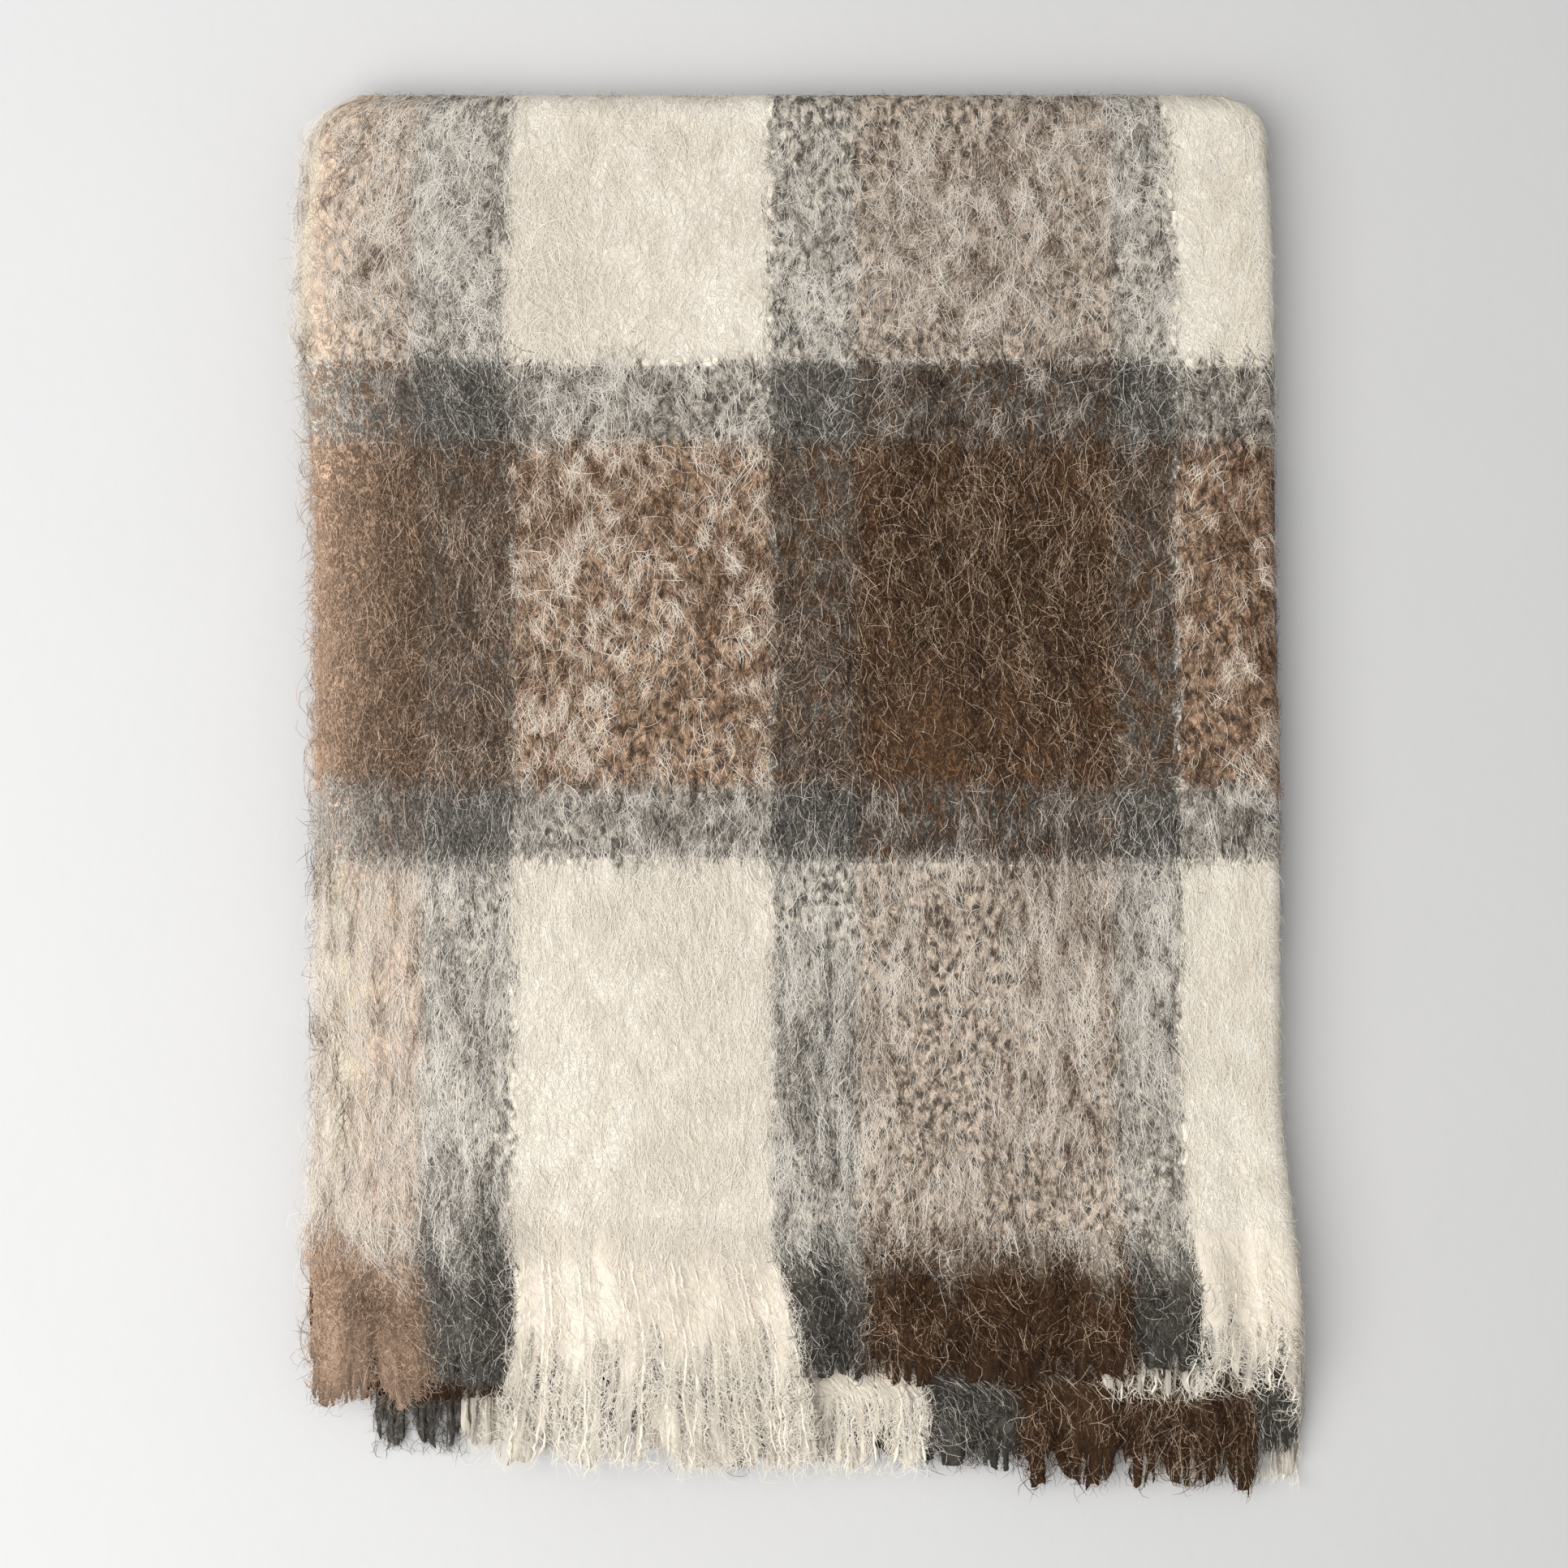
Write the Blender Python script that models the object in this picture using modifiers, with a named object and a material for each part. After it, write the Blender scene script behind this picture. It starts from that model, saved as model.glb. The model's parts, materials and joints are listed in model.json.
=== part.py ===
"""A brushed wool plaid throw, folded in half across its width and then over its length, lying flat.

Metres, +Z up, +Y towards the top fold, +X towards the side folds. The origin is the centre of the
bounding box's underside. The throw is one woven cloth whose warp ends run on past it as a fringe. It is
built here as what its two folds make of it: four leaves on top of each other, the bends that join them,
and each leaf's fringe in one bunch for each colour of warp.
"""

import math
from dataclasses import dataclass

import bmesh
import bpy

# The woven throw, laid out flat
THROW_WIDTH = 1.296
WOVEN_LENGTH = 1.575
CLOTH_THICKNESS = 0.0105
FRINGE_LENGTH = 0.110

# Warp ends of each stripe, from the selvedge to the middle of the throw. The other half is its mirror.
WARP_STRIPES = (
    ("brown", 15),
    ("grey", 13),
    ("cream", 36),
    ("grey", 12),
    ("brown", 36),
    ("grey", 9),
    ("cream", 14),
)

# How it is folded
TOP_FOLD_OFFSET = 0.0265  # from the middle of the woven length to the top fold
PLY_GAP = 0.0003  # between plies that lie on each other, and between pieces that meet end to end
CREASE_RADIUS = 0.0015  # inside a bend where the cloth is folded flat on itself

# The fringe
BUNCH_GAP = 0.003  # between two bunches at their roots
BUNCH_DRAW_IN = 0.004  # by which each side of a bunch comes in towards its tip
FRINGE_ROOT_THICKNESS = 0.0085
FRINGE_TIP_THICKNESS = 0.004
FRINGE_EDGE_RADIUS = 0.0015

ARC_SEGMENTS = 14  # in a half turn
SMOOTH_ANGLE = math.radians(35)

# Worked out from the sizes above
PLY_PITCH = CLOTH_THICKNESS + PLY_GAP
INNER_BEND_RADIUS = PLY_PITCH / 2  # to the middle of the cloth
OUTER_BEND_RADIUS = INNER_BEND_RADIUS + PLY_PITCH
SIDE_FOLD_REACH = CLOTH_THICKNESS + PLY_GAP / 2
TOP_FOLD_REACH = OUTER_BEND_RADIUS + CLOTH_THICKNESS / 2
LEAF_WIDTH = (THROW_WIDTH - math.pi * INNER_BEND_RADIUS) / 2
FOLDED_WIDTH = LEAF_WIDTH + SIDE_FOLD_REACH
LEFT_X = -FOLDED_WIDTH / 2
LEAF_RIGHT_X = LEFT_X + LEAF_WIDTH
WARP_PITCH = THROW_WIDTH / (2 * sum(ends for _, ends in WARP_STRIPES))


def leaf_length(bend_radius: float, offset: float) -> float:
    """Length of a leaf whose ply turns the top fold at bend_radius, with its end moved by offset."""
    return (WOVEN_LENGTH - math.pi * bend_radius) / 2 + offset


LONGEST_LEAF = leaf_length(INNER_BEND_RADIUS, TOP_FOLD_OFFSET)
FOLDED_LENGTH = TOP_FOLD_REACH + LONGEST_LEAF + PLY_GAP + FRINGE_LENGTH
TOP_FOLD_Y = FOLDED_LENGTH / 2 - TOP_FOLD_REACH


@dataclass(frozen=True)
class Leaf:
    """One of the four leaves: its name, its place in the stack, and how far it reaches down from the fold."""

    name: str
    layer: int
    length: float

    @property
    def bottom(self) -> float:
        """Height of its underside."""
        return self.layer * PLY_PITCH

    @property
    def end_y(self) -> float:
        """Where its weave ends and its fringe begins."""
        return TOP_FOLD_Y - self.length


LEAVES = (
    Leaf("lower_outer_leaf", 0, leaf_length(OUTER_BEND_RADIUS, TOP_FOLD_OFFSET)),
    Leaf("lower_inner_leaf", 1, leaf_length(INNER_BEND_RADIUS, TOP_FOLD_OFFSET)),
    Leaf("upper_inner_leaf", 2, leaf_length(INNER_BEND_RADIUS, -TOP_FOLD_OFFSET)),
    Leaf("upper_outer_leaf", 3, leaf_length(OUTER_BEND_RADIUS, -TOP_FOLD_OFFSET)),
)
HINGE_HEIGHT = 2 * PLY_PITCH - PLY_GAP / 2  # between the two middle plies


def clear_scene() -> None:
    """Remove whatever the scene starts with."""
    for existing in list(bpy.data.objects):
        bpy.data.objects.remove(existing, do_unlink=True)


def wool_material(name: str, colour: tuple[float, float, float]) -> bpy.types.Material:
    """A matt wool finish of one linear colour."""
    material = bpy.data.materials.new(name)
    material.use_nodes = True
    shader = material.node_tree.nodes["Principled BSDF"]
    shader.inputs["Base Color"].default_value = (*colour, 1.0)
    shader.inputs["Roughness"].default_value = 0.9
    shader.inputs["Metallic"].default_value = 0.0
    return material


def plaid_material() -> bpy.types.Material:
    """The woven plaid seen as one mixed tone."""
    return wool_material("woven_plaid", (0.34, 0.27, 0.21))


def fringe_materials() -> dict[str, bpy.types.Material]:
    """One finish for each colour of warp yarn."""
    return {
        "cream": wool_material("cream_yarn", (0.78, 0.70, 0.58)),
        "grey": wool_material("grey_yarn", (0.075, 0.068, 0.062)),
        "brown": wool_material("brown_yarn", (0.125, 0.072, 0.042)),
    }


def smooth(mesh: bpy.types.Mesh) -> None:
    """Shade a mesh smooth, with its real corners kept sharp."""
    mesh.shade_smooth()
    mesh.set_sharp_from_angle(angle=SMOOTH_ANGLE)


def half_turn(radius: float, start: float) -> list[tuple[float, float]]:
    """Points of half a circle about the origin, from the angle start, anticlockwise."""
    steps = range(ARC_SEGMENTS + 1)
    angles = [start + math.pi * step / ARC_SEGMENTS for step in steps]
    return [(radius * math.cos(a), radius * math.sin(a)) for a in angles]


def extruded_outline(
    name: str,
    outline: list[tuple[float, float]],
    length: float,
    place: tuple[float, float, float],
    turn: tuple[float, float, float],
) -> bpy.types.Object:
    """A flat outline filled on both sides and extruded by length, centred on place and turned by turn."""
    curve = bpy.data.curves.new(name, "CURVE")
    curve.dimensions = "2D"
    curve.fill_mode = "BOTH"
    curve.extrude = length / 2
    spline = curve.splines.new("POLY")
    spline.points.add(len(outline) - 1)
    for point, (across, up) in zip(spline.points, outline, strict=True):
        point.co = (across, up, 0.0, 1.0)
    spline.use_cyclic_u = True
    solid = bpy.data.objects.new(name, curve)
    solid.location = place
    solid.rotation_euler = turn
    return solid


# Turns that stand an outline upright: its width along +X with its run along Y, and along +Y with X
RUN_ALONG_Y = (math.pi / 2, 0.0, 0.0)
RUN_ALONG_X = (math.pi / 2, 0.0, math.pi / 2)


def make_leaf(leaf: Leaf) -> bpy.types.Object:
    """A flat leaf of the cloth, round along its selvedge and square where its side fold takes over."""
    radius = CLOTH_THICKNESS / 2
    selvedge = [(radius + x, y) for x, y in half_turn(radius, math.pi / 2)]
    inner_x = LEAF_WIDTH - PLY_GAP
    outline = [*selvedge, (inner_x, -radius), (inner_x, radius)]
    run = leaf.length - PLY_GAP
    middle_y = leaf.end_y + run / 2
    place = (LEFT_X, middle_y, leaf.bottom + radius)
    return extruded_outline(leaf.name, outline, run, place, RUN_ALONG_Y)


def bend_outline(outer_radius: float, inner_radius: float) -> list[tuple[float, float]]:
    """A half ring on the positive side: the section of cloth that bends back over itself."""
    outside = half_turn(outer_radius, -math.pi / 2)
    inside = half_turn(inner_radius, -math.pi / 2)
    return [*outside, *reversed(inside)]


def make_side_fold(name: str, under: Leaf, over: Leaf) -> bpy.types.Object:
    """The bend at the right that joins two leaves of the same half, as long as the shorter of them."""
    run = min(under.length, over.length) - PLY_GAP
    middle_y = TOP_FOLD_Y - PLY_GAP - run / 2
    outline = bend_outline(SIDE_FOLD_REACH, CREASE_RADIUS)
    height = over.bottom - PLY_GAP / 2
    return extruded_outline(
        name, outline, run, (LEAF_RIGHT_X, middle_y, height), RUN_ALONG_Y
    )


def make_top_fold(name: str, outer_radius: float, inner_radius: float) -> bpy.types.Object:
    """A bend at the top, across the whole folded width, about the line between the middle plies."""
    outline = bend_outline(outer_radius, inner_radius)
    place = (0.0, TOP_FOLD_Y, HINGE_HEIGHT)
    return extruded_outline(name, outline, FOLDED_WIDTH, place, RUN_ALONG_X)


def stripe_spans() -> list[tuple[str, float, float]]:
    """Each stripe's colour and the x where it starts and ends on a leaf; the last wraps the side fold."""
    spans, x = [], LEFT_X
    for colour, ends in WARP_STRIPES:
        spans.append((colour, x, x + ends * WARP_PITCH))
        x += ends * WARP_PITCH
    colour, start, _ = spans[-1]
    spans[-1] = (colour, start, FOLDED_WIDTH / 2 + BUNCH_GAP / 2)
    return spans


def make_bunch(
    leaf: Leaf, number: int, span: tuple[str, float, float]
) -> bpy.types.Object:
    """One colour's fringe on one leaf: a block that thins and draws in towards its tip, edges rounded."""
    colour, start, end = span
    name = f"{leaf.name.removesuffix('_leaf')}_fringe_{number}_{colour}"
    left, right = start + BUNCH_GAP / 2, end - BUNCH_GAP / 2
    root_y = leaf.end_y - PLY_GAP
    shape = bmesh.new()
    bmesh.ops.create_cube(shape, size=1.0)
    for corner in shape.verts:
        is_tip = corner.co.y < 0
        thickness = FRINGE_TIP_THICKNESS if is_tip else FRINGE_ROOT_THICKNESS
        draw_in = BUNCH_DRAW_IN if is_tip else 0.0
        x = left + draw_in if corner.co.x < 0 else right - draw_in
        y = root_y - FRINGE_LENGTH if is_tip else root_y
        corner.co = (x, y, leaf.bottom + (thickness if corner.co.z > 0 else 0.0))
    bmesh.ops.recalc_face_normals(shape, faces=shape.faces)
    mesh = bpy.data.meshes.new(name)
    shape.to_mesh(mesh)
    shape.free()
    smooth(mesh)
    bunch = bpy.data.objects.new(name, mesh)
    rounding = bunch.modifiers.new("rounded_edges", "BEVEL")
    rounding.width = FRINGE_EDGE_RADIUS
    rounding.segments = 2
    rounding.limit_method = "NONE"
    return bunch


def make_hinge_line(collection: bpy.types.Collection) -> bpy.types.Object:
    """The line that the upper half turns about, as an empty that its pieces hang from."""
    line = bpy.data.objects.new("top_fold_line", None)
    line.location = (0.0, TOP_FOLD_Y, HINGE_HEIGHT)
    line.empty_display_size = FOLDED_WIDTH / 2
    collection.objects.link(line)
    return line


def hang_from(child: bpy.types.Object, parent: bpy.types.Object) -> None:
    """Parent child to the empty and keep it where it is."""
    child.parent = parent
    child.location = [
        at - origin for at, origin in zip(child.location, parent.location, strict=True)
    ]


def main() -> None:
    """Build the leaves, their bends and their fringes in one collection."""
    clear_scene()
    throw = bpy.data.collections.new("folded_throw_blanket")
    bpy.context.scene.collection.children.link(throw)
    hinge_line = make_hinge_line(throw)
    plaid = plaid_material()
    yarns = fringe_materials()
    lower_outer, lower_inner, upper_inner, upper_outer = LEAVES

    lower_pieces = [
        make_side_fold("lower_side_fold", lower_outer, lower_inner),
        make_top_fold("inner_top_fold", SIDE_FOLD_REACH, CREASE_RADIUS),
        make_top_fold(
            "outer_top_fold", TOP_FOLD_REACH, TOP_FOLD_REACH - CLOTH_THICKNESS
        ),
    ]
    upper_pieces = [make_side_fold("upper_side_fold", upper_inner, upper_outer)]
    lower_pieces += [make_leaf(lower_outer), make_leaf(lower_inner)]
    upper_pieces += [make_leaf(upper_inner), make_leaf(upper_outer)]
    for piece in lower_pieces + upper_pieces:
        piece.data.materials.append(plaid)

    for leaf in LEAVES:
        for number, span in enumerate(stripe_spans(), start=1):
            bunch = make_bunch(leaf, number, span)
            bunch.data.materials.append(yarns[span[0]])
            own = upper_pieces if leaf in (upper_inner, upper_outer) else lower_pieces
            own.append(bunch)

    for piece in lower_pieces + upper_pieces:
        throw.objects.link(piece)
    for piece in upper_pieces:
        hang_from(piece, hinge_line)


main()
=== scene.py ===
"""A brushed wool plaid throw, folded in half twice: the woven cloth, its pile, its fringe and a plain studio.

Everything is laid out on the cloth as it was woven. A point of it has a place s across the throw, from the
first selvedge, and a place t along the warp, from the first fringe, both in metres. FoldedCloth carries
(s, t) and a height over the cloth's middle into space, round the side fold and the top fold.
"""

import json
import logging
import math
from collections.abc import Callable
from dataclasses import dataclass, field, replace
from enum import Enum

import bpy
import numpy as np
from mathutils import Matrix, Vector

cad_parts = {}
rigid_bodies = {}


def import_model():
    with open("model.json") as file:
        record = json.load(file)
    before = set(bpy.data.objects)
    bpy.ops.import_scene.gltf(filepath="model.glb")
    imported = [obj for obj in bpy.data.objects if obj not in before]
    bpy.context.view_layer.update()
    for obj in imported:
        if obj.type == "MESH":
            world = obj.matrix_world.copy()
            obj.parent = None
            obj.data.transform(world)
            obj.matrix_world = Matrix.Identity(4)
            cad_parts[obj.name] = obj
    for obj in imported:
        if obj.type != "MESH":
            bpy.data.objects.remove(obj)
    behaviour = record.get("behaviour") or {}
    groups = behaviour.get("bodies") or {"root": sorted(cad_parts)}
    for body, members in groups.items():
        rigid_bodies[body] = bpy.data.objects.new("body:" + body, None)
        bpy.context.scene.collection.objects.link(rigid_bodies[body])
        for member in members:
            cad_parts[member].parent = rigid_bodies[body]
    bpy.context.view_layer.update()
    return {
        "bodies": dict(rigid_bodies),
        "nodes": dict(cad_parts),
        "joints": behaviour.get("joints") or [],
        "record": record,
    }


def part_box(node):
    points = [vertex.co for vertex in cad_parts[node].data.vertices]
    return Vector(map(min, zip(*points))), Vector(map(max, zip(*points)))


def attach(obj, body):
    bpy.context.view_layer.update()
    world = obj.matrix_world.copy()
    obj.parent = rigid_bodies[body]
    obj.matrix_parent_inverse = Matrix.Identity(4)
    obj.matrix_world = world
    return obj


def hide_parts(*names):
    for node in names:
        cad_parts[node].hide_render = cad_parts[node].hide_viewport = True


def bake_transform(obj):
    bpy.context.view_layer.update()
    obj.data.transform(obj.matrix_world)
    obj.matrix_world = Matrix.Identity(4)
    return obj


Array = np.ndarray
Colour = tuple[float, float, float]

log = logging.getLogger("folded_throw")

UPPER, LOWER, HINGE = "upper_half", "lower_half", "top_fold"
BAKE_MAP = "OFBake"
PLY_GAP = 0.0003  # between pieces of the frame that meet end to end
SELVEDGE_STRIP = (-0.001, 0.006)  # places across that hold the pile of a cut or woven edge


def smoothstep(low: float, high: float, x: Array) -> Array:
    """0 below low, 1 above high and 3q^2 - 2q^3 between them, q being the share of the way."""
    q = np.clip((x - low) / (high - low), 0.0, 1.0)
    return q * q * (3.0 - 2.0 * q)


def unit(vectors: Array) -> Array:
    """Each vector over its own length."""
    return vectors / np.maximum(np.linalg.norm(vectors, axis=-1, keepdims=True), 1e-12)


@dataclass(frozen=True)
class SmoothNoise:
    """Value noise from -1 to 1 on a plane: random numbers on a lattice, blended with smooth weights."""

    seed: int
    cell_s: float
    cell_t: float
    lattice: int = 256

    def __call__(self, s: Array, t: Array) -> Array:
        """The noise at (s, t): the four corners of its cell, weighted by 3q^2 - 2q^3 each way.

        Args:
            s: Places across the throw.
            t: Places along it.

        Returns:
            Noise from -1 to 1.
        """
        knots = np.random.default_rng(self.seed).uniform(-1, 1, (self.lattice,) * 2)
        a, b = s / self.cell_s, t / self.cell_t
        i, j = np.floor(a).astype(int), np.floor(b).astype(int)
        p, q = smoothstep(0, 1, a - i), smoothstep(0, 1, b - j)
        i0, j0 = i % self.lattice, j % self.lattice
        i1, j1 = (i + 1) % self.lattice, (j + 1) % self.lattice
        near = knots[i0, j0] * (1 - p) + knots[i1, j0] * p
        far = knots[i0, j1] * (1 - p) + knots[i1, j1] * p
        return near * (1 - q) + far * q


class Yarn(Enum):
    """The three wools, each with its record slot."""

    BROWN = "brown_yarn"
    GREY = "grey_yarn"
    CREAM = "cream_yarn"


@dataclass(frozen=True)
class Wool:
    """Linear colours of one wool: a painted shade for the depth of the pile, its own, and a painted highlight
    for its hairs that catch light.
    """

    deep: Colour
    middle: Colour
    bright: Colour

    def shades(self) -> Array:
        """The three colours as rows."""
        return np.array([self.deep, self.middle, self.bright])


WOOLS = {
    Yarn.BROWN: Wool((0.016, 0.006, 0.002), (0.085, 0.044, 0.021), (0.60, 0.44, 0.31)),
    Yarn.GREY: Wool((0.022, 0.018, 0.014), (0.108, 0.096, 0.080), (0.70, 0.65, 0.58)),
    Yarn.CREAM: Wool((0.80, 0.715, 0.59), (0.90, 0.83, 0.715), (0.95, 0.90, 0.81)),
}
# Colours the dark wools are painted towards near the first selvedge: mostly painted light from the lamp on
# the left.
PALE_AND_LEFT_LIT: dict[Yarn, Colour] = {Yarn.BROWN: (0.64, 0.44, 0.31), Yarn.GREY: (0.62, 0.57, 0.50)}
YARNS = (Yarn.BROWN, Yarn.GREY, Yarn.CREAM)


@dataclass(frozen=True)
class Crossing:
    """The look of one weft brushed over another warp: its wool, how light it is and how blotched."""

    wool: Wool
    light: float
    blotch: float


# Each crossing's three shades also run from painted shade in the pile's depth to painted highlight.
CREAM_ON_BROWN = Wool((0.110, 0.066, 0.040), (0.450, 0.362, 0.285), (0.84, 0.76, 0.66))
CREAM_ON_GREY = Wool((0.090, 0.080, 0.066), (0.450, 0.408, 0.350), (0.84, 0.79, 0.71))
BROWN_ON_CREAM = Wool((0.075, 0.034, 0.014), (0.370, 0.236, 0.148), (0.90, 0.79, 0.66))
GREY_ON_CREAM = Wool((0.060, 0.050, 0.040), (0.370, 0.322, 0.266), (0.84, 0.78, 0.70))
BROWN_ON_GREY = Wool((0.022, 0.012, 0.006), (0.125, 0.080, 0.052), (0.66, 0.52, 0.41))
GREY_ON_BROWN = Wool((0.022, 0.014, 0.009), (0.120, 0.092, 0.071), (0.68, 0.59, 0.51))
CROSSINGS: dict[tuple[Yarn, Yarn], Crossing] = {
    (Yarn.CREAM, Yarn.BROWN): Crossing(CREAM_ON_BROWN, 0.66, 0.52),
    (Yarn.CREAM, Yarn.GREY): Crossing(CREAM_ON_GREY, 0.67, 0.52),
    (Yarn.BROWN, Yarn.CREAM): Crossing(BROWN_ON_CREAM, 0.50, 0.78),
    (Yarn.GREY, Yarn.CREAM): Crossing(GREY_ON_CREAM, 0.57, 0.62),
    (Yarn.BROWN, Yarn.GREY): Crossing(BROWN_ON_GREY, 0.43, 0.18),
    (Yarn.GREY, Yarn.BROWN): Crossing(GREY_ON_BROWN, 0.47, 0.40),
}


@dataclass(frozen=True)
class Plaid:
    """The order of stripes, in metres: of warp from a selvedge to the middle, of weft from a fringe to it."""

    width: float
    length: float
    warp: tuple[tuple[Yarn, float], ...] = (
        (Yarn.BROWN, 0.0720),
        (Yarn.GREY, 0.0624),
        (Yarn.CREAM, 0.1728),
        (Yarn.GREY, 0.0576),
        (Yarn.BROWN, 0.1728),
        (Yarn.GREY, 0.0432),
        (Yarn.CREAM, 1.0),
    )
    weft: tuple[tuple[Yarn, float], ...] = (
        (Yarn.CREAM, 0.2460),
        (Yarn.GREY, 0.0510),
        (Yarn.BROWN, 0.2270),
        (Yarn.GREY, 0.0535),
        (Yarn.CREAM, 1.0),
    )

    @staticmethod
    def edges(stripes: tuple[tuple[Yarn, float], ...]) -> Array:
        """Where each stripe but the last ends, as a running sum of the widths."""
        return np.cumsum([width for _, width in stripes[:-1]])

    def indices(self, stripes: tuple[tuple[Yarn, float], ...], depth: Array) -> Array:
        """Index in YARNS of the stripe that holds each depth."""
        order = np.array([YARNS.index(yarn) for yarn, _ in stripes])
        return order[np.searchsorted(self.edges(stripes), depth)]

    def warp_at(self, s: Array) -> Array:
        """Wool of the warp at s, the same from both selvedges."""
        return self.indices(self.warp, np.minimum(s, self.width - s))

    def weft_at(self, t: Array) -> Array:
        """Wool of the weft at t, the same from both fringes."""
        return self.indices(self.weft, np.minimum(t, self.length - t))


RIPPLES = (
    (0.140, 0.050, 0.0035),
    (0.238, 0.026, -0.0065),
    (0.340, 0.070, 0.0055),
    (0.470, 0.020, -0.0020),
    (0.556, 0.028, -0.0085),
    (0.655, 0.050, 0.0055),
    (0.790, 0.022, -0.0045),
    (0.865, 0.030, 0.0040),
    (0.945, 0.018, -0.0065),
    (0.995, 0.020, 0.0020),
)


@dataclass(frozen=True)
class FoldedCloth:
    """The cloth's two folds as a map from the woven throw into space, with sizes read from the frame."""

    width: float
    length: float
    pitch: float
    left_x: float
    leaf_width: float
    hinge_y: float
    hinge_z: float
    fold_offset: float
    slip: float = 0.060
    fringe_drop: float = 0.006
    bumps: SmoothNoise = SmoothNoise(31, 0.013, 0.018)
    waves: SmoothNoise = SmoothNoise(32, 0.085, 0.110)

    @classmethod
    def from_frame(cls, frame: dict) -> "FoldedCloth":
        """Read the leaf boxes and the hinge, and unfold them to the woven size.


        Returns:
            The cloth in the sizes of the frame.
        """
        hinge = next(j for j in frame["joints"] if j["name"] == HINGE)["pos_m"]
        low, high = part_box("upper_outer_leaf")
        inner_low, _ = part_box("upper_inner_leaf")
        under_low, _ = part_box("lower_outer_leaf")
        pitch = low[2] - inner_low[2]
        leaf_width = high[0] - low[0] + PLY_GAP
        upper = hinge[1] - low[1]
        lower = hinge[1] - under_low[1]
        return cls(
            width=2 * leaf_width + math.pi * pitch / 2,
            length=upper + lower + math.pi * 1.5 * pitch,
            pitch=pitch,
            left_x=low[0],
            leaf_width=leaf_width,
            hinge_y=hinge[1],
            hinge_z=hinge[2],
            fold_offset=(lower - upper) / 2,
        )

    @property
    def bend(self) -> float:
        """Length of cloth in the side fold: half a circle of half the pitch."""
        return math.pi * self.pitch / 2

    @property
    def side_s(self) -> float:
        """The place of the side fold's outermost line."""
        return self.leaf_width + self.bend / 2

    @property
    def right_x(self) -> float:
        """Where the side fold reaches to."""
        return self.left_x + self.leaf_width + self.pitch

    def ply_radius(self, s: Array) -> Array:
        """Distance of the cloth's middle from the top fold's line: pitch + pitch / 2 * cos(turn)."""
        return self.pitch * (1 + 0.5 * np.cos(self.side_turn(s)))

    def side_turn(self, s: Array) -> Array:
        """Angle turned round the side fold: 0 on the outer ply and pi on the inner one."""
        return np.pi * np.clip((s - self.leaf_width) / self.bend, 0.0, 1.0)

    def upper_length(self, s: Array) -> Array:
        """Length of cloth from the first fringe to the top fold's bend."""
        return (self.length - np.pi * self.ply_radius(s)) / 2 - self.fold_offset

    def woven_s(self, s: Array, t: Array) -> Array:
        """Which warp lies at s: past the top fold the cloth has slipped, evenly more towards its end."""
        middle = self.length / 2 - self.fold_offset
        return s + self.slip * np.clip((t - middle) / (self.length - middle), 0.0, 1.0)

    def place(self, s: Array, t: Array, lift: Array) -> tuple[Array, Array]:
        """Points in space and the cloth's face normals there.

        Across, the cloth runs straight, turns half a circle of radius pitch / 2, and runs back. Along, it
        runs straight, turns half a circle of its ply's radius about the top fold's line, and runs back.

        Args:
            s: Places across the throw.
            t: Places along it; below 0 and past the length is fringe.
            lift: Height over the cloth's middle, towards its face.

        Returns:
            The points and the unit normals, with one more axis of three than s.
        """
        s, t, lift = np.broadcast_arrays(s, t, lift)
        turn = self.side_turn(s)
        past = np.maximum(s - self.leaf_width - self.bend, 0.0)
        x = self.left_x + np.minimum(s, self.leaf_width) - past
        x = x + (self.pitch / 2 + lift) * np.sin(turn)
        radius = self.ply_radius(s)
        out = np.maximum(radius + lift * np.cos(turn), 0.0004)
        upper = self.upper_length(s)
        angle = np.clip((t - upper) / radius, 0.0, np.pi)
        run = np.maximum(upper - t, 0.0) + np.maximum(t - upper - np.pi * radius, 0.0)
        y = self.hinge_y - run + out * np.sin(angle)
        z = self.hinge_z + out * np.cos(angle)
        normal = np.stack(
            [
                np.sin(turn),
                np.cos(turn) * np.sin(angle),
                np.cos(turn) * np.cos(angle),
            ],
            axis=-1,
        )
        raised = self.upper_share(z)
        small = 0.001
        rise = [self.ripple(x + dx, y + dy) for dx, dy in ((-small, 0), (small, 0), (0, -small), (0, small))]
        slope = np.stack([rise[0] - rise[1], rise[2] - rise[3], np.zeros_like(x)], axis=-1)
        normal = unit(normal + slope * (raised * normal[..., 2])[..., None] / (2 * small))
        return self.settled(np.stack([x, y, z], axis=-1), t), normal

    def upper_share(self, z: Array) -> Array:
        """0 for the lower leaves and 1 for the upper ones, with a smooth change over the hinge."""
        return smoothstep(0.0, 0.012, z - self.hinge_z)

    def relief(self, s: Array, t: Array) -> Array:
        """Small lumps and slow waves of the face, less of both inside the folds."""
        inner = smoothstep(0, self.bend, s - self.leaf_width)
        return (0.0007 * self.bumps(s, t) + 0.0009 * self.waves(s, t)) * (1 - 0.7 * inner)

    def across(self, x: Array) -> Array:
        """Share of the way from the left edge to the right one."""
        return np.clip((x - self.left_x) / (self.right_x - self.left_x), -0.05, 1.05)

    def down(self, y: Array) -> Array:
        """How far below the top edge."""
        return self.hinge_y + 1.5 * self.pitch - y

    def ripple(self, x: Array, y: Array) -> Array:
        """Height of the upper leaves' soft folds: bell curves across, growing towards the fringe.

        Args:
            x: Places across, in space.
            y: Places along, in space.

        Returns:
            Heights in metres.
        """
        across = self.across(x)
        total = 0.0
        for centre, width, height in RIPPLES:
            total = total + height * np.exp(-(((across - centre) / width) ** 2))
        return total * smoothstep(0.64, 0.84, self.down(y))

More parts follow.
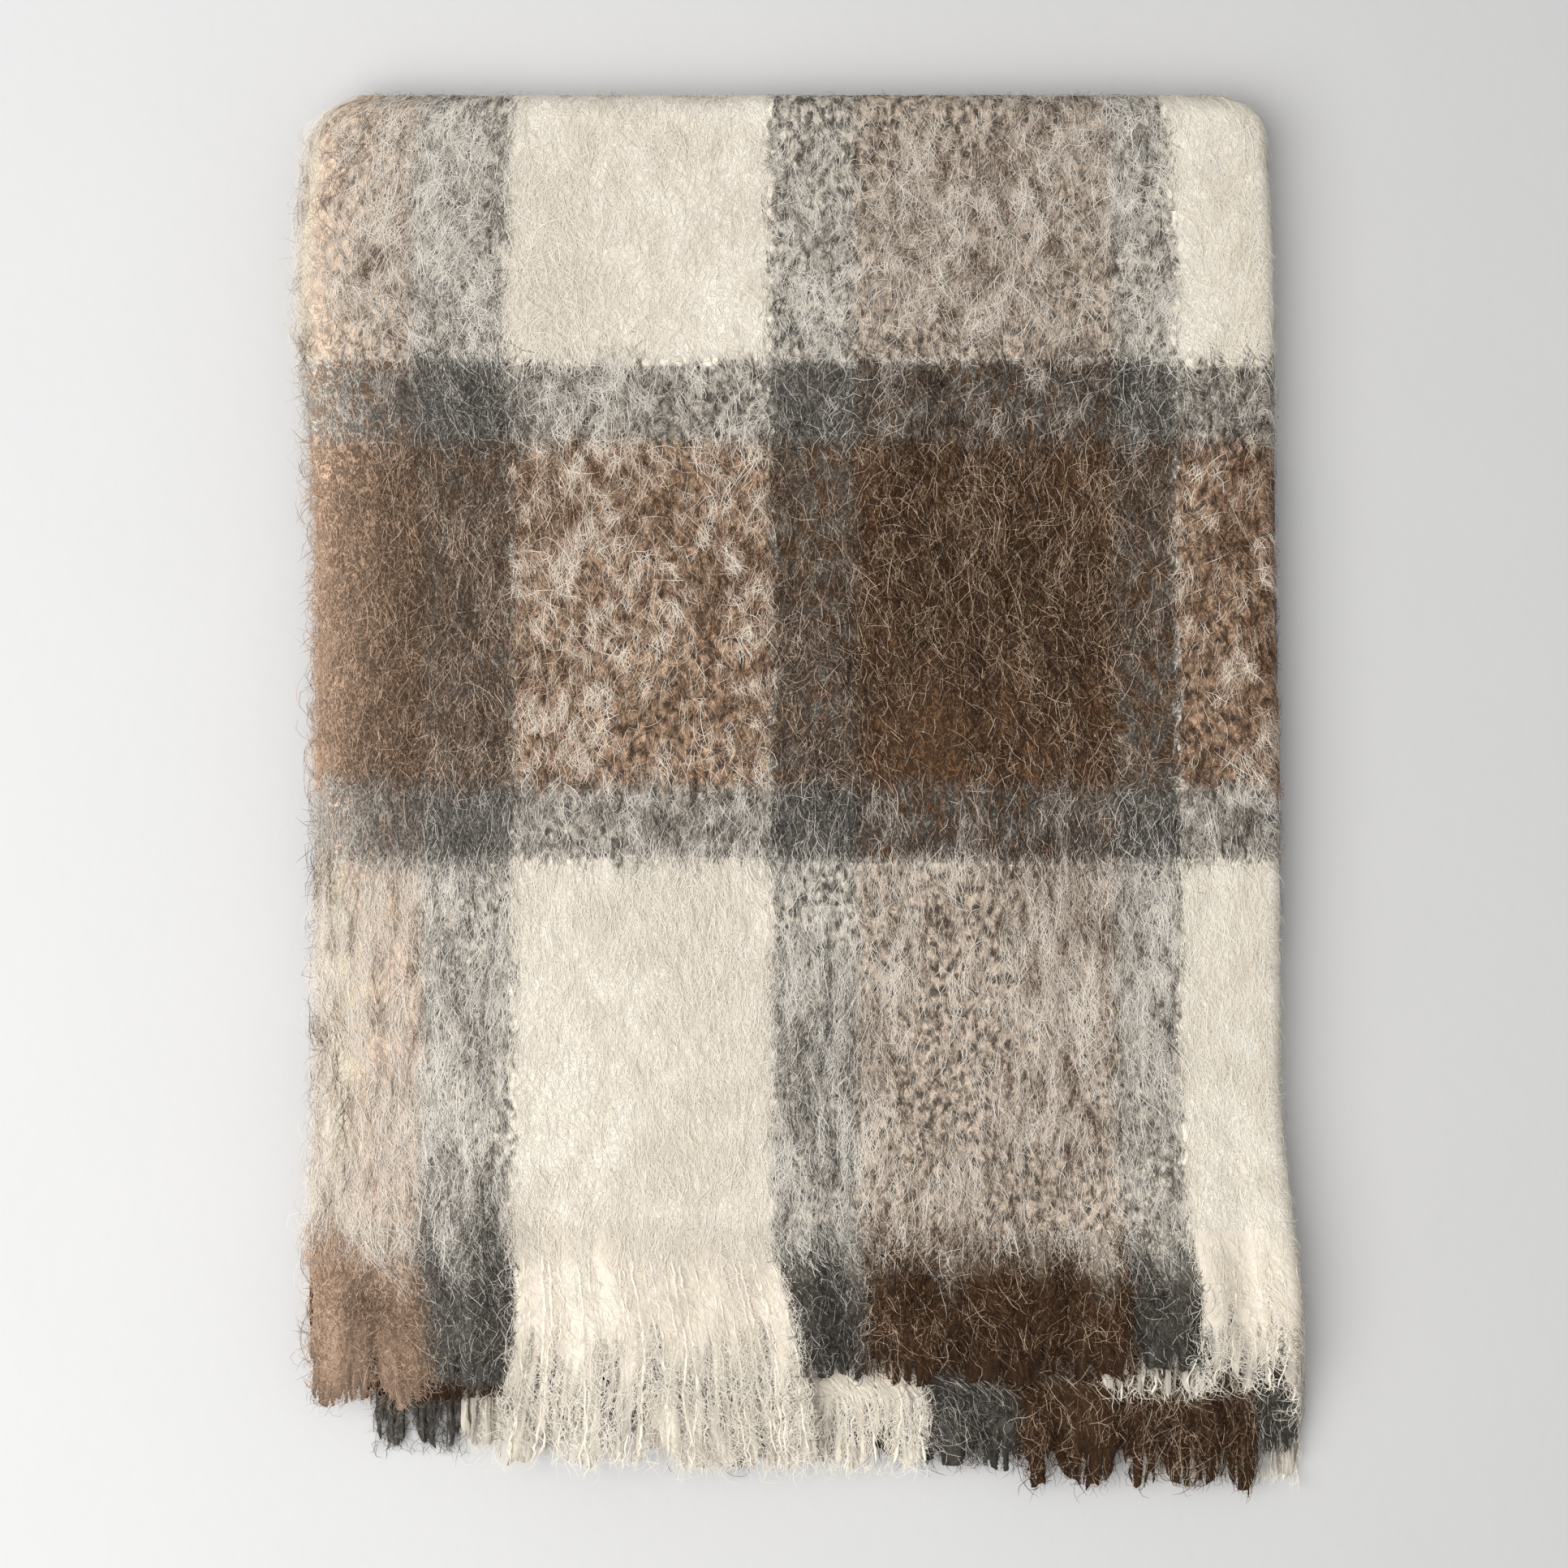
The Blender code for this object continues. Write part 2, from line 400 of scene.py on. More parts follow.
    def settled(self, points: Array, t: Array) -> Array:
        """The folded cloth as it really lies: corners rounded, edges wandering, ripples near the fringe.

        Near the top, x draws in at each side by R - sqrt(R^2 - d^2), d being how far a point is up its
        corner. The left edge bows out by a bell curve and the right edge flares towards the fringe. The
        upper leaves rise in soft folds, and sag past the root of their fringe.

        Args:
            points: Points of the neatly folded cloth.
            t: Their places along the throw.

        Returns:
            The moved points.
        """
        x, y, z = points[..., 0], points[..., 1], points[..., 2]
        across, down = self.across(x), self.down(y)
        shift = np.zeros_like(x)
        for radius, sign, near in ((0.034, 1.0, 1 - across), (0.026, -1.0, across)):
            d = np.clip(radius - down, 0.0, radius * 0.985)
            draw = radius - np.sqrt(radius**2 - d**2)
            shift += sign * draw * np.clip(near, 0, 1) ** 9
        bow = 0.0095 * np.exp(-(((down - 0.125) / 0.085) ** 2))
        left = -bow + 0.0025 * smoothstep(0.22, 0.30, down)
        left += 0.0050 - 0.0065 * smoothstep(0.62, 0.80, down)
        right = -0.006 * np.exp(-((down / 0.08) ** 2))
        right += 0.004 * smoothstep(0.25, 0.50, down) - 0.008
        right += 0.017 * smoothstep(0.64, 0.84, down)
        shift += left * np.clip(1 - across, 0, 1) ** 3 + right * np.clip(across, 0, 1) ** 3
        raised = self.upper_share(z)
        fringe = np.maximum(-t, 0.0) + np.maximum(t - self.length, 0.0)
        sag = self.fringe_drop * smoothstep(0.02, 0.14, fringe)
        edge = np.minimum(np.clip(across, 0, 1), 1 - np.clip(across, 0, 1)) * 0.65
        slump = 0.0022 * np.exp(-((edge / 0.012) ** 2))
        z = z + raised * (self.ripple(x, y) - sag - slump)
        shift += 0.0025 * smoothstep(0.0, 0.004, self.hinge_z - z)
        return np.stack([x + shift, y, np.maximum(z, 0.0003)], axis=-1)


@dataclass
class Surface:
    """A mesh in the making: points, faces and what each point carries."""

    points: Array
    faces: Array
    weave: Array
    wool: Array | None = None
    shading: Array | None = None
    loose: Array | None = None

    def vertex_normals(self) -> Array:
        """The stored normals, or each point's mean of its faces' normals.

        Returns:
            One unit normal a point.
        """
        if self.shading is not None:
            return self.shading
        a, b, c, d = (self.points[self.faces[:, k]] for k in range(4))
        face = np.cross(c - a, d - b)
        total = np.zeros_like(self.points)
        for k in range(4):
            np.add.at(total, self.faces[:, k], face)
        return unit(total)

    def joined(self, other: "Surface") -> "Surface":
        """This surface and another as one.

        Args:
            other: The surface whose faces come after this one's.

        Returns:
            The new surface.
        """
        wool = None if self.wool is None else np.concatenate([self.wool, other.wool])
        loose = np.concatenate([self.looseness(), other.looseness()])
        return Surface(
            np.concatenate([self.points, other.points]),
            np.concatenate([self.faces, other.faces + len(self.points)]),
            np.concatenate([self.weave, other.weave]),
            wool,
            np.concatenate([self.vertex_normals(), other.vertex_normals()]),
            loose,
        )

    def looseness(self) -> Array:
        """How far each point's threads have come apart, from 0 to 1: none where it isn't given."""
        return np.zeros(len(self.points)) if self.loose is None else self.loose

    def write(self, name: str, material: bpy.types.Material) -> bpy.types.Object:
        """Make the object: its mesh, its weave and wool attributes and a map over its own stretch of cloth.

        Args:
            name: The piece's name.
            material: Its finish.

        Returns:
            The new object, linked to the scene.
        """
        mesh = bpy.data.meshes.new(name)
        corners = self.faces.shape[1]
        mesh.vertices.add(len(self.points))
        mesh.vertices.foreach_set("co", self.points.astype(np.float32).ravel())
        mesh.loops.add(self.faces.size)
        mesh.loops.foreach_set("vertex_index", self.faces.astype(np.int32).ravel())
        mesh.polygons.add(len(self.faces))
        starts = np.arange(0, self.faces.size, corners, dtype=np.int32)
        mesh.polygons.foreach_set("loop_start", starts)
        mesh.update(calc_edges=True)
        flat = np.concatenate([self.weave, self.looseness()[:, None]], axis=1)
        attribute = mesh.attributes.new("weave", "FLOAT_VECTOR", "POINT")
        attribute.data.foreach_set("vector", flat.astype(np.float32).ravel())
        if self.wool is not None:
            colours = np.concatenate([self.wool, np.ones((len(self.wool), 1))], axis=1)
            attribute = mesh.attributes.new("wool", "FLOAT_COLOR", "POINT")
            attribute.data.foreach_set("color", colours.astype(np.float32).ravel())
        low, high = self.weave.min(0), self.weave.max(0)
        spread = (self.weave - low) / np.maximum(high - low, 1e-6)
        layer = mesh.uv_layers.new(name=BAKE_MAP)
        layer.uv.foreach_set("vector", spread[self.faces.ravel()].astype(np.float32).ravel())
        mesh.shade_smooth()
        if self.shading is not None:
            mesh.normals_split_custom_set_from_vertices(self.shading)
        mesh.materials.append(material)
        piece = bpy.data.objects.new(name, mesh)
        bpy.context.scene.collection.objects.link(piece)
        return piece


def grid_faces(rows: int, columns: int) -> Array:
    """Quads of a grid of points stored row by row, anticlockwise when rows run along +s and columns +t.

    Args:
        rows: How many points run along s.
        columns: How many points run along t.

    Returns:
        Four point numbers a face.
    """
    i, j = np.meshgrid(np.arange(rows - 1), np.arange(columns - 1), indexing="ij")
    first = (i * columns + j).ravel()
    return np.stack([first, first + columns, first + columns + 1, first + 1], axis=1)


def closed_slab(
    cloth: FoldedCloth,
    s: Array,
    t: Array,
    face: Array,
    back: Array,
    warp: Callable[[Array, Array], Array],
) -> Surface:
    """A closed sheet over a grid of the cloth, from its back height to its face height, walled all round.

    Args:
        cloth: The map into space.
        s: Places across, one for each grid point.
        t: Places along, one for each grid point.
        face: Height of the face over the cloth's middle.
        back: Height of the back.
        warp: Gives the woven place across for (s, t).

    Returns:
        The closed surface with its faces outwards.
    """
    rows, columns = s.shape
    count = rows * columns
    points = [cloth.place(s, t, lift)[0].reshape(-1, 3) for lift in (face, back)]
    quads = grid_faces(rows, columns)
    index = np.arange(count).reshape(rows, columns)
    rim = np.concatenate(
        [index[:, 0], index[-1, 1:], index[-2::-1, -1], index[0, -2:0:-1]]
    )
    after = np.roll(rim, -1)
    walls = np.stack([after, rim, rim + count, after + count], axis=1)
    weave = np.stack([warp(s, t), t], axis=-1).reshape(-1, 2)
    return Surface(
        np.concatenate(points),
        np.concatenate([quads, quads[:, ::-1] + count, walls]),
        np.concatenate([weave, weave]),
    )


@dataclass(frozen=True)
class Tint:
    """Picks the colour of each fibre from the cloth beneath it."""

    plaid: Plaid
    cloth: FoldedCloth
    blotch: SmoothNoise = SmoothNoise(11, 0.0062, 0.0080)
    long_blotch: SmoothNoise = SmoothNoise(12, 0.0048, 0.0190)
    patch: SmoothNoise = SmoothNoise(13, 0.024, 0.034)
    edges: SmoothNoise = SmoothNoise(14, 0.0120, 0.0300)

    def spots(self, s: Array, t: Array) -> Array:
        """Blotches from -1 to 1, drawn out along the warp in the first band of weft.

        Args:
            s: Places across the throw.
            t: Places along it.

        Returns:
            Blotches from -1 to 1.
        """
        long = 1 - smoothstep(0.22, 0.30, t)
        near = self.long_blotch(s, t) * long + self.blotch(s, t) * (1 - long)
        return 0.90 * near + 0.45 * self.patch(s, t)

    def paling_and_left_light(self, woven: Array, t: Array) -> Array:
        """How far dark wools are painted paler near the first selvedge, from 0 to 1: mostly painted light
        from the lamp on the left.

        It is 0.9 exp(-d / 26 mm) + 0.1 exp(-(d / 200 mm)^2), with 0.38 more over the first stripe in the
        fringe and in the first band of weft.

        Args:
            woven: Which warp it is, as a place across the throw.
            t: Places along it.

        Returns:
            Shares from 0 to 1.
        """
        d = np.clip(woven, 0.0, None)
        share = 0.9 * np.exp(-d / 0.026) + 0.10 * np.exp(-((d / 0.20) ** 2))
        end = 1 - smoothstep(0.20, 0.30, t)
        share = share + 0.38 * end * (1 - smoothstep(0.066, 0.084, d))
        patchy = 1 + 0.7 * self.patch(woven, t * 0.6) * (1 - smoothstep(-0.01, 0.03, t))
        return np.clip(share * patchy, 0, 0.8)

    @staticmethod
    def shaded(shades: Array, light: Array) -> Array:
        """The deep, middle and bright shades for light of 0, a half and 1, and between them: from painted
        shade to painted highlight.

        Args:
            shades: Three colours for each point, or three for all.
            light: How light each point is.

        Returns:
            One colour a point.
        """
        deep, middle, bright = (shades[..., k, :] for k in range(3))
        light = light[..., None]
        colour = deep + (middle - deep) * np.clip(light * 2, 0, 1)
        return colour + (bright - middle) * np.clip(light * 2 - 1, 0, 1)

    def colours(
        self, s: Array, t: Array, rng: np.random.Generator, light: tuple[float, float]
    ) -> Array:
        """Linear colours along fibres, each knot looking at the cloth some way back towards the middle.

        Args:
            s: Places across the throw, one row for each fibre.
            t: Places along it.
            rng: Source of the fibre to fibre spread.
            light: The two shape numbers of the beta draw of how bright each fibre is.

        Returns:
            One colour for each knot.
        """
        one = (len(s), 1)
        s = s.mean(1, keepdims=True) + 0.5 * (s - s.mean(1, keepdims=True))
        t = t.mean(1, keepdims=True) + 0.5 * (t - t.mean(1, keepdims=True))
        woven = self.cloth.woven_s(s, t)
        warp = self.plaid.warp_at(woven + rng.normal(0, 0.0026, one) + 0.0020 * self.edges(s, t))
        weft = self.plaid.weft_at(t + rng.normal(0, 0.0060, one) + 0.0065 * self.edges(s + 1, t))
        out = np.maximum(-t, t - self.cloth.length) + rng.normal(0, 0.012, one)
        weft = np.where(out + 0.016 * self.edges(s * 0.6, t * 0) > 0.010, warp, weft)
        paling_and_left_light = self.paling_and_left_light(woven, t)
        glow = np.clip(rng.beta(*light, one) + 0.10 * self.patch(s * 1.3, t), 0, 1)
        colour = self.shaded(np.stack([WOOLS[yarn].shades() for yarn in YARNS])[weft], glow)
        spots = self.spots(woven, t)
        # Painted light: crossings with cream go lighter within 6 to 16 cm of the first selvedge, where the
        # lamp on the left falls. Brown or grey weft over cream warp goes darker towards the right side.
        pale = 0.20 * (1 - smoothstep(0.06, 0.16, woven))
        veiled = (weft != YARNS.index(Yarn.CREAM)) & (warp == YARNS.index(Yarn.CREAM))
        pale -= 0.16 * smoothstep(0.50, 0.58, woven) * veiled
        for (over, under), crossing in CROSSINGS.items():
            here = (weft == YARNS.index(over)) & (warp == YARNS.index(under))
            level = crossing.light + pale * (Yarn.CREAM in (over, under))
            level = level + crossing.blotch * spots * (1.5 - glow) + 0.85 * (glow - 0.42)
            level = np.clip(level, 0, 1)
            mixed = self.shaded(crossing.wool.shades()[None, None], level)
            colour = np.where(here[..., None], mixed, colour)
        # Dark wools painted paler near the first selvedge: mostly painted light from the lamp on the left.
        paler = np.array([PALE_AND_LEFT_LIT[Yarn.BROWN], PALE_AND_LEFT_LIT[Yarn.GREY], WOOLS[Yarn.CREAM].middle])[weft]
        share = paling_and_left_light * (0.65 + 0.6 * glow) * (weft != YARNS.index(Yarn.CREAM))
        colour = colour + (paler - colour) * np.clip(share, 0, 1)[..., None]
        # Painted light: every colour is made 5% lighter towards the right side.
        return np.clip(colour * (1 + 0.05 * smoothstep(0.50, 0.58, woven))[..., None], 0.003, 0.95)


@dataclass(frozen=True)
class Hairs:
    """How a patch of pile grows: how many hairs, how long, how high they stand and how they lie."""

    count: int
    length: tuple[float, float] = (0.012, 0.040)
    height: tuple[float, float] = (0.0005, 0.0020)
    width: tuple[float, float] = (0.00018, 0.00040)
    spread: float = 0.60
    curl: float = 1.25
    wave: float = 0.42
    wild_share: float = 0.05
    wild_height: tuple[float, float] = (0.0025, 0.0055)
    knots: int = 6
    light: tuple[float, float] = (0.75, 0.95)

    def fewer(self, count: int) -> "Hairs":
        """The same hairs, another number of them."""
        return replace(self, count=count)


# The felt's low hairs draw mostly the deep shade: painted shade under the longer pile.
FELT = Hairs(
    0,
    length=(0.005, 0.013),
    height=(0.0001, 0.0010),
    width=(0.0003, 0.0006),
    spread=0.7,
    wild_share=0.0,
    knots=4,
    light=(1.1, 3.0),
)
LONG = Hairs(0)
COMBED = replace(LONG, spread=0.30, curl=0.9, wave=0.5)
EDGE = Hairs(
    0,
    length=(0.008, 0.020),
    height=(0.0002, 0.0018),
    width=(0.00018, 0.00036),
    spread=0.8,
    wild_share=0.10,
    wild_height=(0.002, 0.005),
    knots=6,
    light=(2.0, 1.3),
)
TUFT = replace(LONG, length=(0.010, 0.030), width=(0.00018, 0.00036), light=(0.8, 1.3))
FLAT = Hairs(0, length=(0.014, 0.036), height=(0.0002, 0.0010), wild_share=0.0, knots=5)


@dataclass(frozen=True)
class Pile:
    """Brushed hairs lying on the cloth, as thin ribbons that rise from it and come back to it."""

    cloth: FoldedCloth
    tint: Tint
    surface: float
    swirl: SmoothNoise = SmoothNoise(21, 0.030, 0.045)
    roundness: float = 0.7

    def paths(
        self, s: Array, t: Array, heading: Array, hairs: Hairs, rng: np.random.Generator
    ) -> tuple[Array, Array, Array]:
        """Places along each hair.

        A hair's heading turns steadily along it, with a wave on top, and its place is the running sum of
        its heading. Its height is its rise times sin(pi q)^0.8, q running from root to tip.

        Args:
            s: Place of each root across the throw.
            t: Place of each root along it.
            heading: Which way each hair lies, in radians.
            hairs: What the hairs are like.
            rng: Source of random numbers.

        Returns:
            For each knot of each hair, its places across and along and its height.
        """
        count, knots = len(s), hairs.knots
        q = np.linspace(0, 1, knots)[None, :]
        length = rng.uniform(*hairs.length, (count, 1))
        turn = rng.normal(0, hairs.curl, (count, 1))
        wave = rng.normal(0, hairs.wave, (count, 1)) * np.sin(
            2 * np.pi * (q * rng.uniform(0.5, 1.5, (count, 1)) + rng.random((count, 1)))
        )
        way = heading[:, None] + turn * (q - 0.5) + wave
        step = length / (knots - 1)
        ds, dt = np.sin(way) * step, np.cos(way) * step
        along_s = s[:, None] + np.cumsum(ds, axis=1) - ds.sum(1, keepdims=True) / 2
        along_t = t[:, None] + np.cumsum(dt, axis=1) - dt.sum(1, keepdims=True) / 2
        rise = rng.uniform(*hairs.height, (count, 1))
        wild = rng.random((count, 1)) < hairs.wild_share
        rise = np.where(wild, rng.uniform(*hairs.wild_height, (count, 1)), rise)
        lean = rng.uniform(0.35, 1.0, (count, 1))
        lift = self.surface - 0.0004 + rise * np.sin(np.pi * q**lean) ** 0.8
        return along_s, along_t, lift

    def ribbons(
        self,
        s: Array,
        t: Array,
        lift: Array,
        colours: Array,
        hairs: Hairs,
        rng: np.random.Generator,
    ) -> Surface:
        """Ribbons along the paths, tapered to both ends, with normals as if each were round.

        A ribbon's two rims have the cloth's normal leaning outwards to either side, so it shades like a
        thread and sits softly on the cloth.

        Args:
            s: Place of each knot across the throw.
            t: Place of each knot along it.
            lift: Height of each knot over the cloth.
            colours: Colour of each hair, or of each of its knots.
            hairs: What the hairs are like.
            rng: Source of random numbers.

        Returns:
            All the hairs as one surface.
        """
        count, knots = s.shape
        points, normals = self.cloth.place(s, t, lift)
        tangent = unit(np.gradient(points, axis=1))
        side = unit(np.cross(tangent, normals))
        twist = np.clip(rng.normal(0, 0.5, (count, 1, 1)), -1.2, 1.2)
        across = side * np.cos(twist) + normals * np.sin(twist)
        q = np.linspace(0, 1, knots)[None, :, None]
        taper = np.clip(np.minimum(q, 1 - q) * 6 + 0.25, 0, 1)
        half = rng.uniform(*hairs.width, (count, 1, 1)) / 2 * taper
        pair = np.stack([points - across * half, points + across * half], axis=2)
        tilt = self.roundness * side
        shading = unit(np.stack([normals - tilt, normals + tilt], axis=2))
        first = np.arange(count)[:, None] * knots * 2 + np.arange(knots - 1)[None] * 2
        faces = np.stack([first, first + 1, first + 3, first + 2], axis=-1)
        weave = np.stack([self.cloth.woven_s(s, t), t], axis=-1)
        weave = np.stack([weave, weave + 0.0003], axis=2)
        return Surface(
            pair.reshape(-1, 3),
            faces.reshape(-1, 4),
            weave.reshape(-1, 2),
            np.repeat(colours.reshape(-1, 3), 2, axis=0),
            shading.reshape(-1, 3),
        )

    def patch(
        self,
        low: tuple[float, float],
        high: tuple[float, float],
        hairs: Hairs,
        seed: int,
    ) -> Surface:
        """Hairs over a rectangle of the cloth, headed along the warp with a slow swirl.

        Args:
            low: The rectangle's lowest (s, t).
            high: Its highest (s, t).
            hairs: How they grow.
            seed: Start of the random draws.

        Returns:
            The ribbons with their colours.
        """
        rng = np.random.default_rng(seed)
        s = rng.uniform(low[0], high[0], hairs.count)
        t = rng.uniform(low[1], high[1], hairs.count)
        heading = hairs.spread * (0.6 * self.swirl(s, t) + rng.normal(0, 1, hairs.count))
        paths = self.paths(s, t, heading, hairs, rng)
        colours = self.tint.colours(paths[0], paths[1], rng, hairs.light)
        return self.ribbons(*paths, colours, hairs, rng)


class Link:
    """One value, vector or colour in a material's nodes, with arithmetic that adds Math nodes."""

    def __init__(self, nodes: "Nodes", socket: bpy.types.NodeSocket) -> None:
        """Wrap an output socket of a tree."""
        self.nodes = nodes
        self.socket = socket

    def math(self, operation: str, *operands: "Link | float") -> "Link":
        """A Math node on these operands."""
        node = self.nodes.add("ShaderNodeMath", {"operation": operation}, dict(enumerate(operands)))
        return Link(self.nodes, node.outputs[0])

    def __add__(self, other: "Link | float") -> "Link":
        """self + other."""
        return self.math("ADD", self, other)

    __radd__ = __add__

    def __sub__(self, other: "Link | float") -> "Link":
        """self - other."""
        return self.math("SUBTRACT", self, other)

    def __rsub__(self, other: "Link | float") -> "Link":
        """other - self."""
        return self.math("SUBTRACT", other, self)

    def __mul__(self, other: "Link | float") -> "Link":
        """self * other."""
        return self.math("MULTIPLY", self, other)

    __rmul__ = __mul__

    def smaller(self, other: "Link | float") -> "Link":
        """The smaller of the two."""
        return self.math("MINIMUM", self, other)

    def ramp(self, low: float, high: float) -> "Link":
        """0 below low, 1 above high and smooth between.

        Args:
            low: The value that gives 0.
            high: The value that gives 1.

        Returns:
            The share.
        """
        node = self.nodes.add(
            "ShaderNodeMapRange",
            {"interpolation_type": "SMOOTHSTEP"},
            {"Value": self, "From Min": low, "From Max": high},
        )
        return Link(self.nodes, node.outputs["Result"])


class Nodes:
    """A material's node tree, with one method that adds any node."""

    def __init__(self, name: str) -> None:
        """Start a material with its Principled shader.

        Args:
            name: The material's name.
        """
        self.material = bpy.data.materials.new(name)
        self.material.use_nodes = True
        self.tree = self.material.node_tree
        self.shader = self.tree.nodes["Principled BSDF"]

    def add(self, kind: str, settings: dict, inputs: dict) -> bpy.types.Node:
        """Add a node.

        Args:
            kind: Its type.
            settings: Its properties, set first.
            inputs: Its sockets by name or number, each given a Link or a plain value.

        Returns:
            The node.
        """
        node = self.tree.nodes.new(kind)
        for name, value in settings.items():
            setattr(node, name, value)
        for key, value in inputs.items():
            self.feed(node.inputs[key], value)
        return node

    def feed(self, socket: bpy.types.NodeSocket, value: "Link | float | tuple") -> None:
        """Link a Link to the socket, or set it to a plain value.

        Args:
            socket: The input.
            value: What goes into it.
        """
        if isinstance(value, Link):
            self.tree.links.new(value.socket, socket)
        elif isinstance(value, tuple) and len(value) == 3 and socket.type == "RGBA":
            socket.default_value = (*value, 1.0)
        else:
            socket.default_value = value

    def link(self, node: bpy.types.Node, output: str | int = 0) -> Link:
        """One output of a node."""
        return Link(self, node.outputs[output])

    def attribute(self, name: str, output: str = "Vector") -> Link:
        """A named attribute of the mesh."""
        node = self.add("ShaderNodeAttribute", {"attribute_name": name}, {})
        return self.link(node, output)

    def stretched(self, vector: Link, scale: Colour) -> Link:
        """The vector, each part multiplied.

        Args:
            vector: Where it is read.
            scale: A factor for each part.

        Returns:
            The scaled vector.
        """
        node = self.add(
            "ShaderNodeVectorMath", {"operation": "MULTIPLY"}, {0: vector, 1: scale}
        )
        return self.link(node)

    def noise(self, vector: Link, scale: float, detail: float = 2.0) -> Link:
        """Noise from 0 to 1 about a half.

        Args:
            vector: Where it is read.
            scale: How many cells of noise go in a metre.
            detail: How many finer layers it has.

        Returns:
            The noise.
        """
        node = self.add(
            "ShaderNodeTexNoise", {}, {"Vector": vector, "Scale": scale, "Detail": detail}
        )
        return self.link(node, "Fac")

    def affine(self, colour: Link, gain: float, base: Colour) -> Link:
        """A colour times a number, plus another colour, never paler than cream wool.

        Args:
            colour: The colour.
            gain: The number.
            base: The colour that is added.

        Returns:
            The new colour.
        """
        node = self.add(
            "ShaderNodeVectorMath",
            {"operation": "MULTIPLY_ADD"},
            {0: colour, 1: (gain,) * 3, 2: base},
        )
        cap = self.add(
            "ShaderNodeVectorMath",
            {"operation": "MINIMUM"},
            {0: self.link(node), 1: WOOLS[Yarn.CREAM].deep},
        )
        return self.link(cap)

    def curled(self, vector: Link, scale: float, amount: float) -> Link:
        """The vector, pushed about by a noise of its own, so that what is drawn on it curls.

        Args:
            vector: Where it is read.
            scale: How many cells of noise go in a metre.
            amount: How far it is pushed.

        Returns:
            The curled vector.
        """
        drift = self.add("ShaderNodeTexNoise", {}, {"Vector": vector, "Scale": scale, "Detail": 1.0})
        push = self.add(
            "ShaderNodeVectorMath",
            {"operation": "MULTIPLY_ADD"},
            {0: self.link(drift, "Color"), 1: (amount,) * 3, 2: vector},
        )
        return self.link(push)

    def hairlines(self, weave: Link, scale: float, width: float) -> Link:
        """Thin curling lines: where a noise crosses its middle value."""
        gap = self.noise(self.stretched(weave, (1.0, 0.55, 1.0)), scale, 1.2) - 0.5
        return 1.0 - gap.math("ABSOLUTE", gap).ramp(width * 0.25, width)

    def mix(self, factor: Link | float, a: "Link | Colour", b: "Link | Colour") -> Link:
        """Colour a turning to b with factor."""
        node = self.add("ShaderNodeMix", {"data_type": "RGBA"}, {0: factor, 6: a, 7: b})
        return self.link(node, 2)

    def scaled(self, colour: "Link | Colour", amount: Link) -> Link:
        """A colour times a number.

        Args:
            colour: The colour.
            amount: The number.

        Returns:
            The new colour.
        """
        node = self.add(
            "ShaderNodeVectorMath", {"operation": "SCALE"}, {0: colour, "Scale": amount}
        )
        return self.link(node)

    def finish(
        self, colour: "Link | Colour", roughness: "Link | float", bump: Link | None, depth: float
    ) -> bpy.types.Material:
        """Feed the shader and return the material.

        Args:
            colour: The colour.
            roughness: How rough the surface is.
            bump: Height of its relief.
            depth: How deep the relief goes, in metres.

        Returns:
            The finished material.
        """
        self.feed(self.shader.inputs["Base Color"], colour)
        self.feed(self.shader.inputs["Roughness"], roughness)
        if bump is not None:
            node = self.add("ShaderNodeBump", {}, {"Height": bump, "Distance": depth})
            self.feed(self.shader.inputs["Normal"], self.link(node))
        return self.material


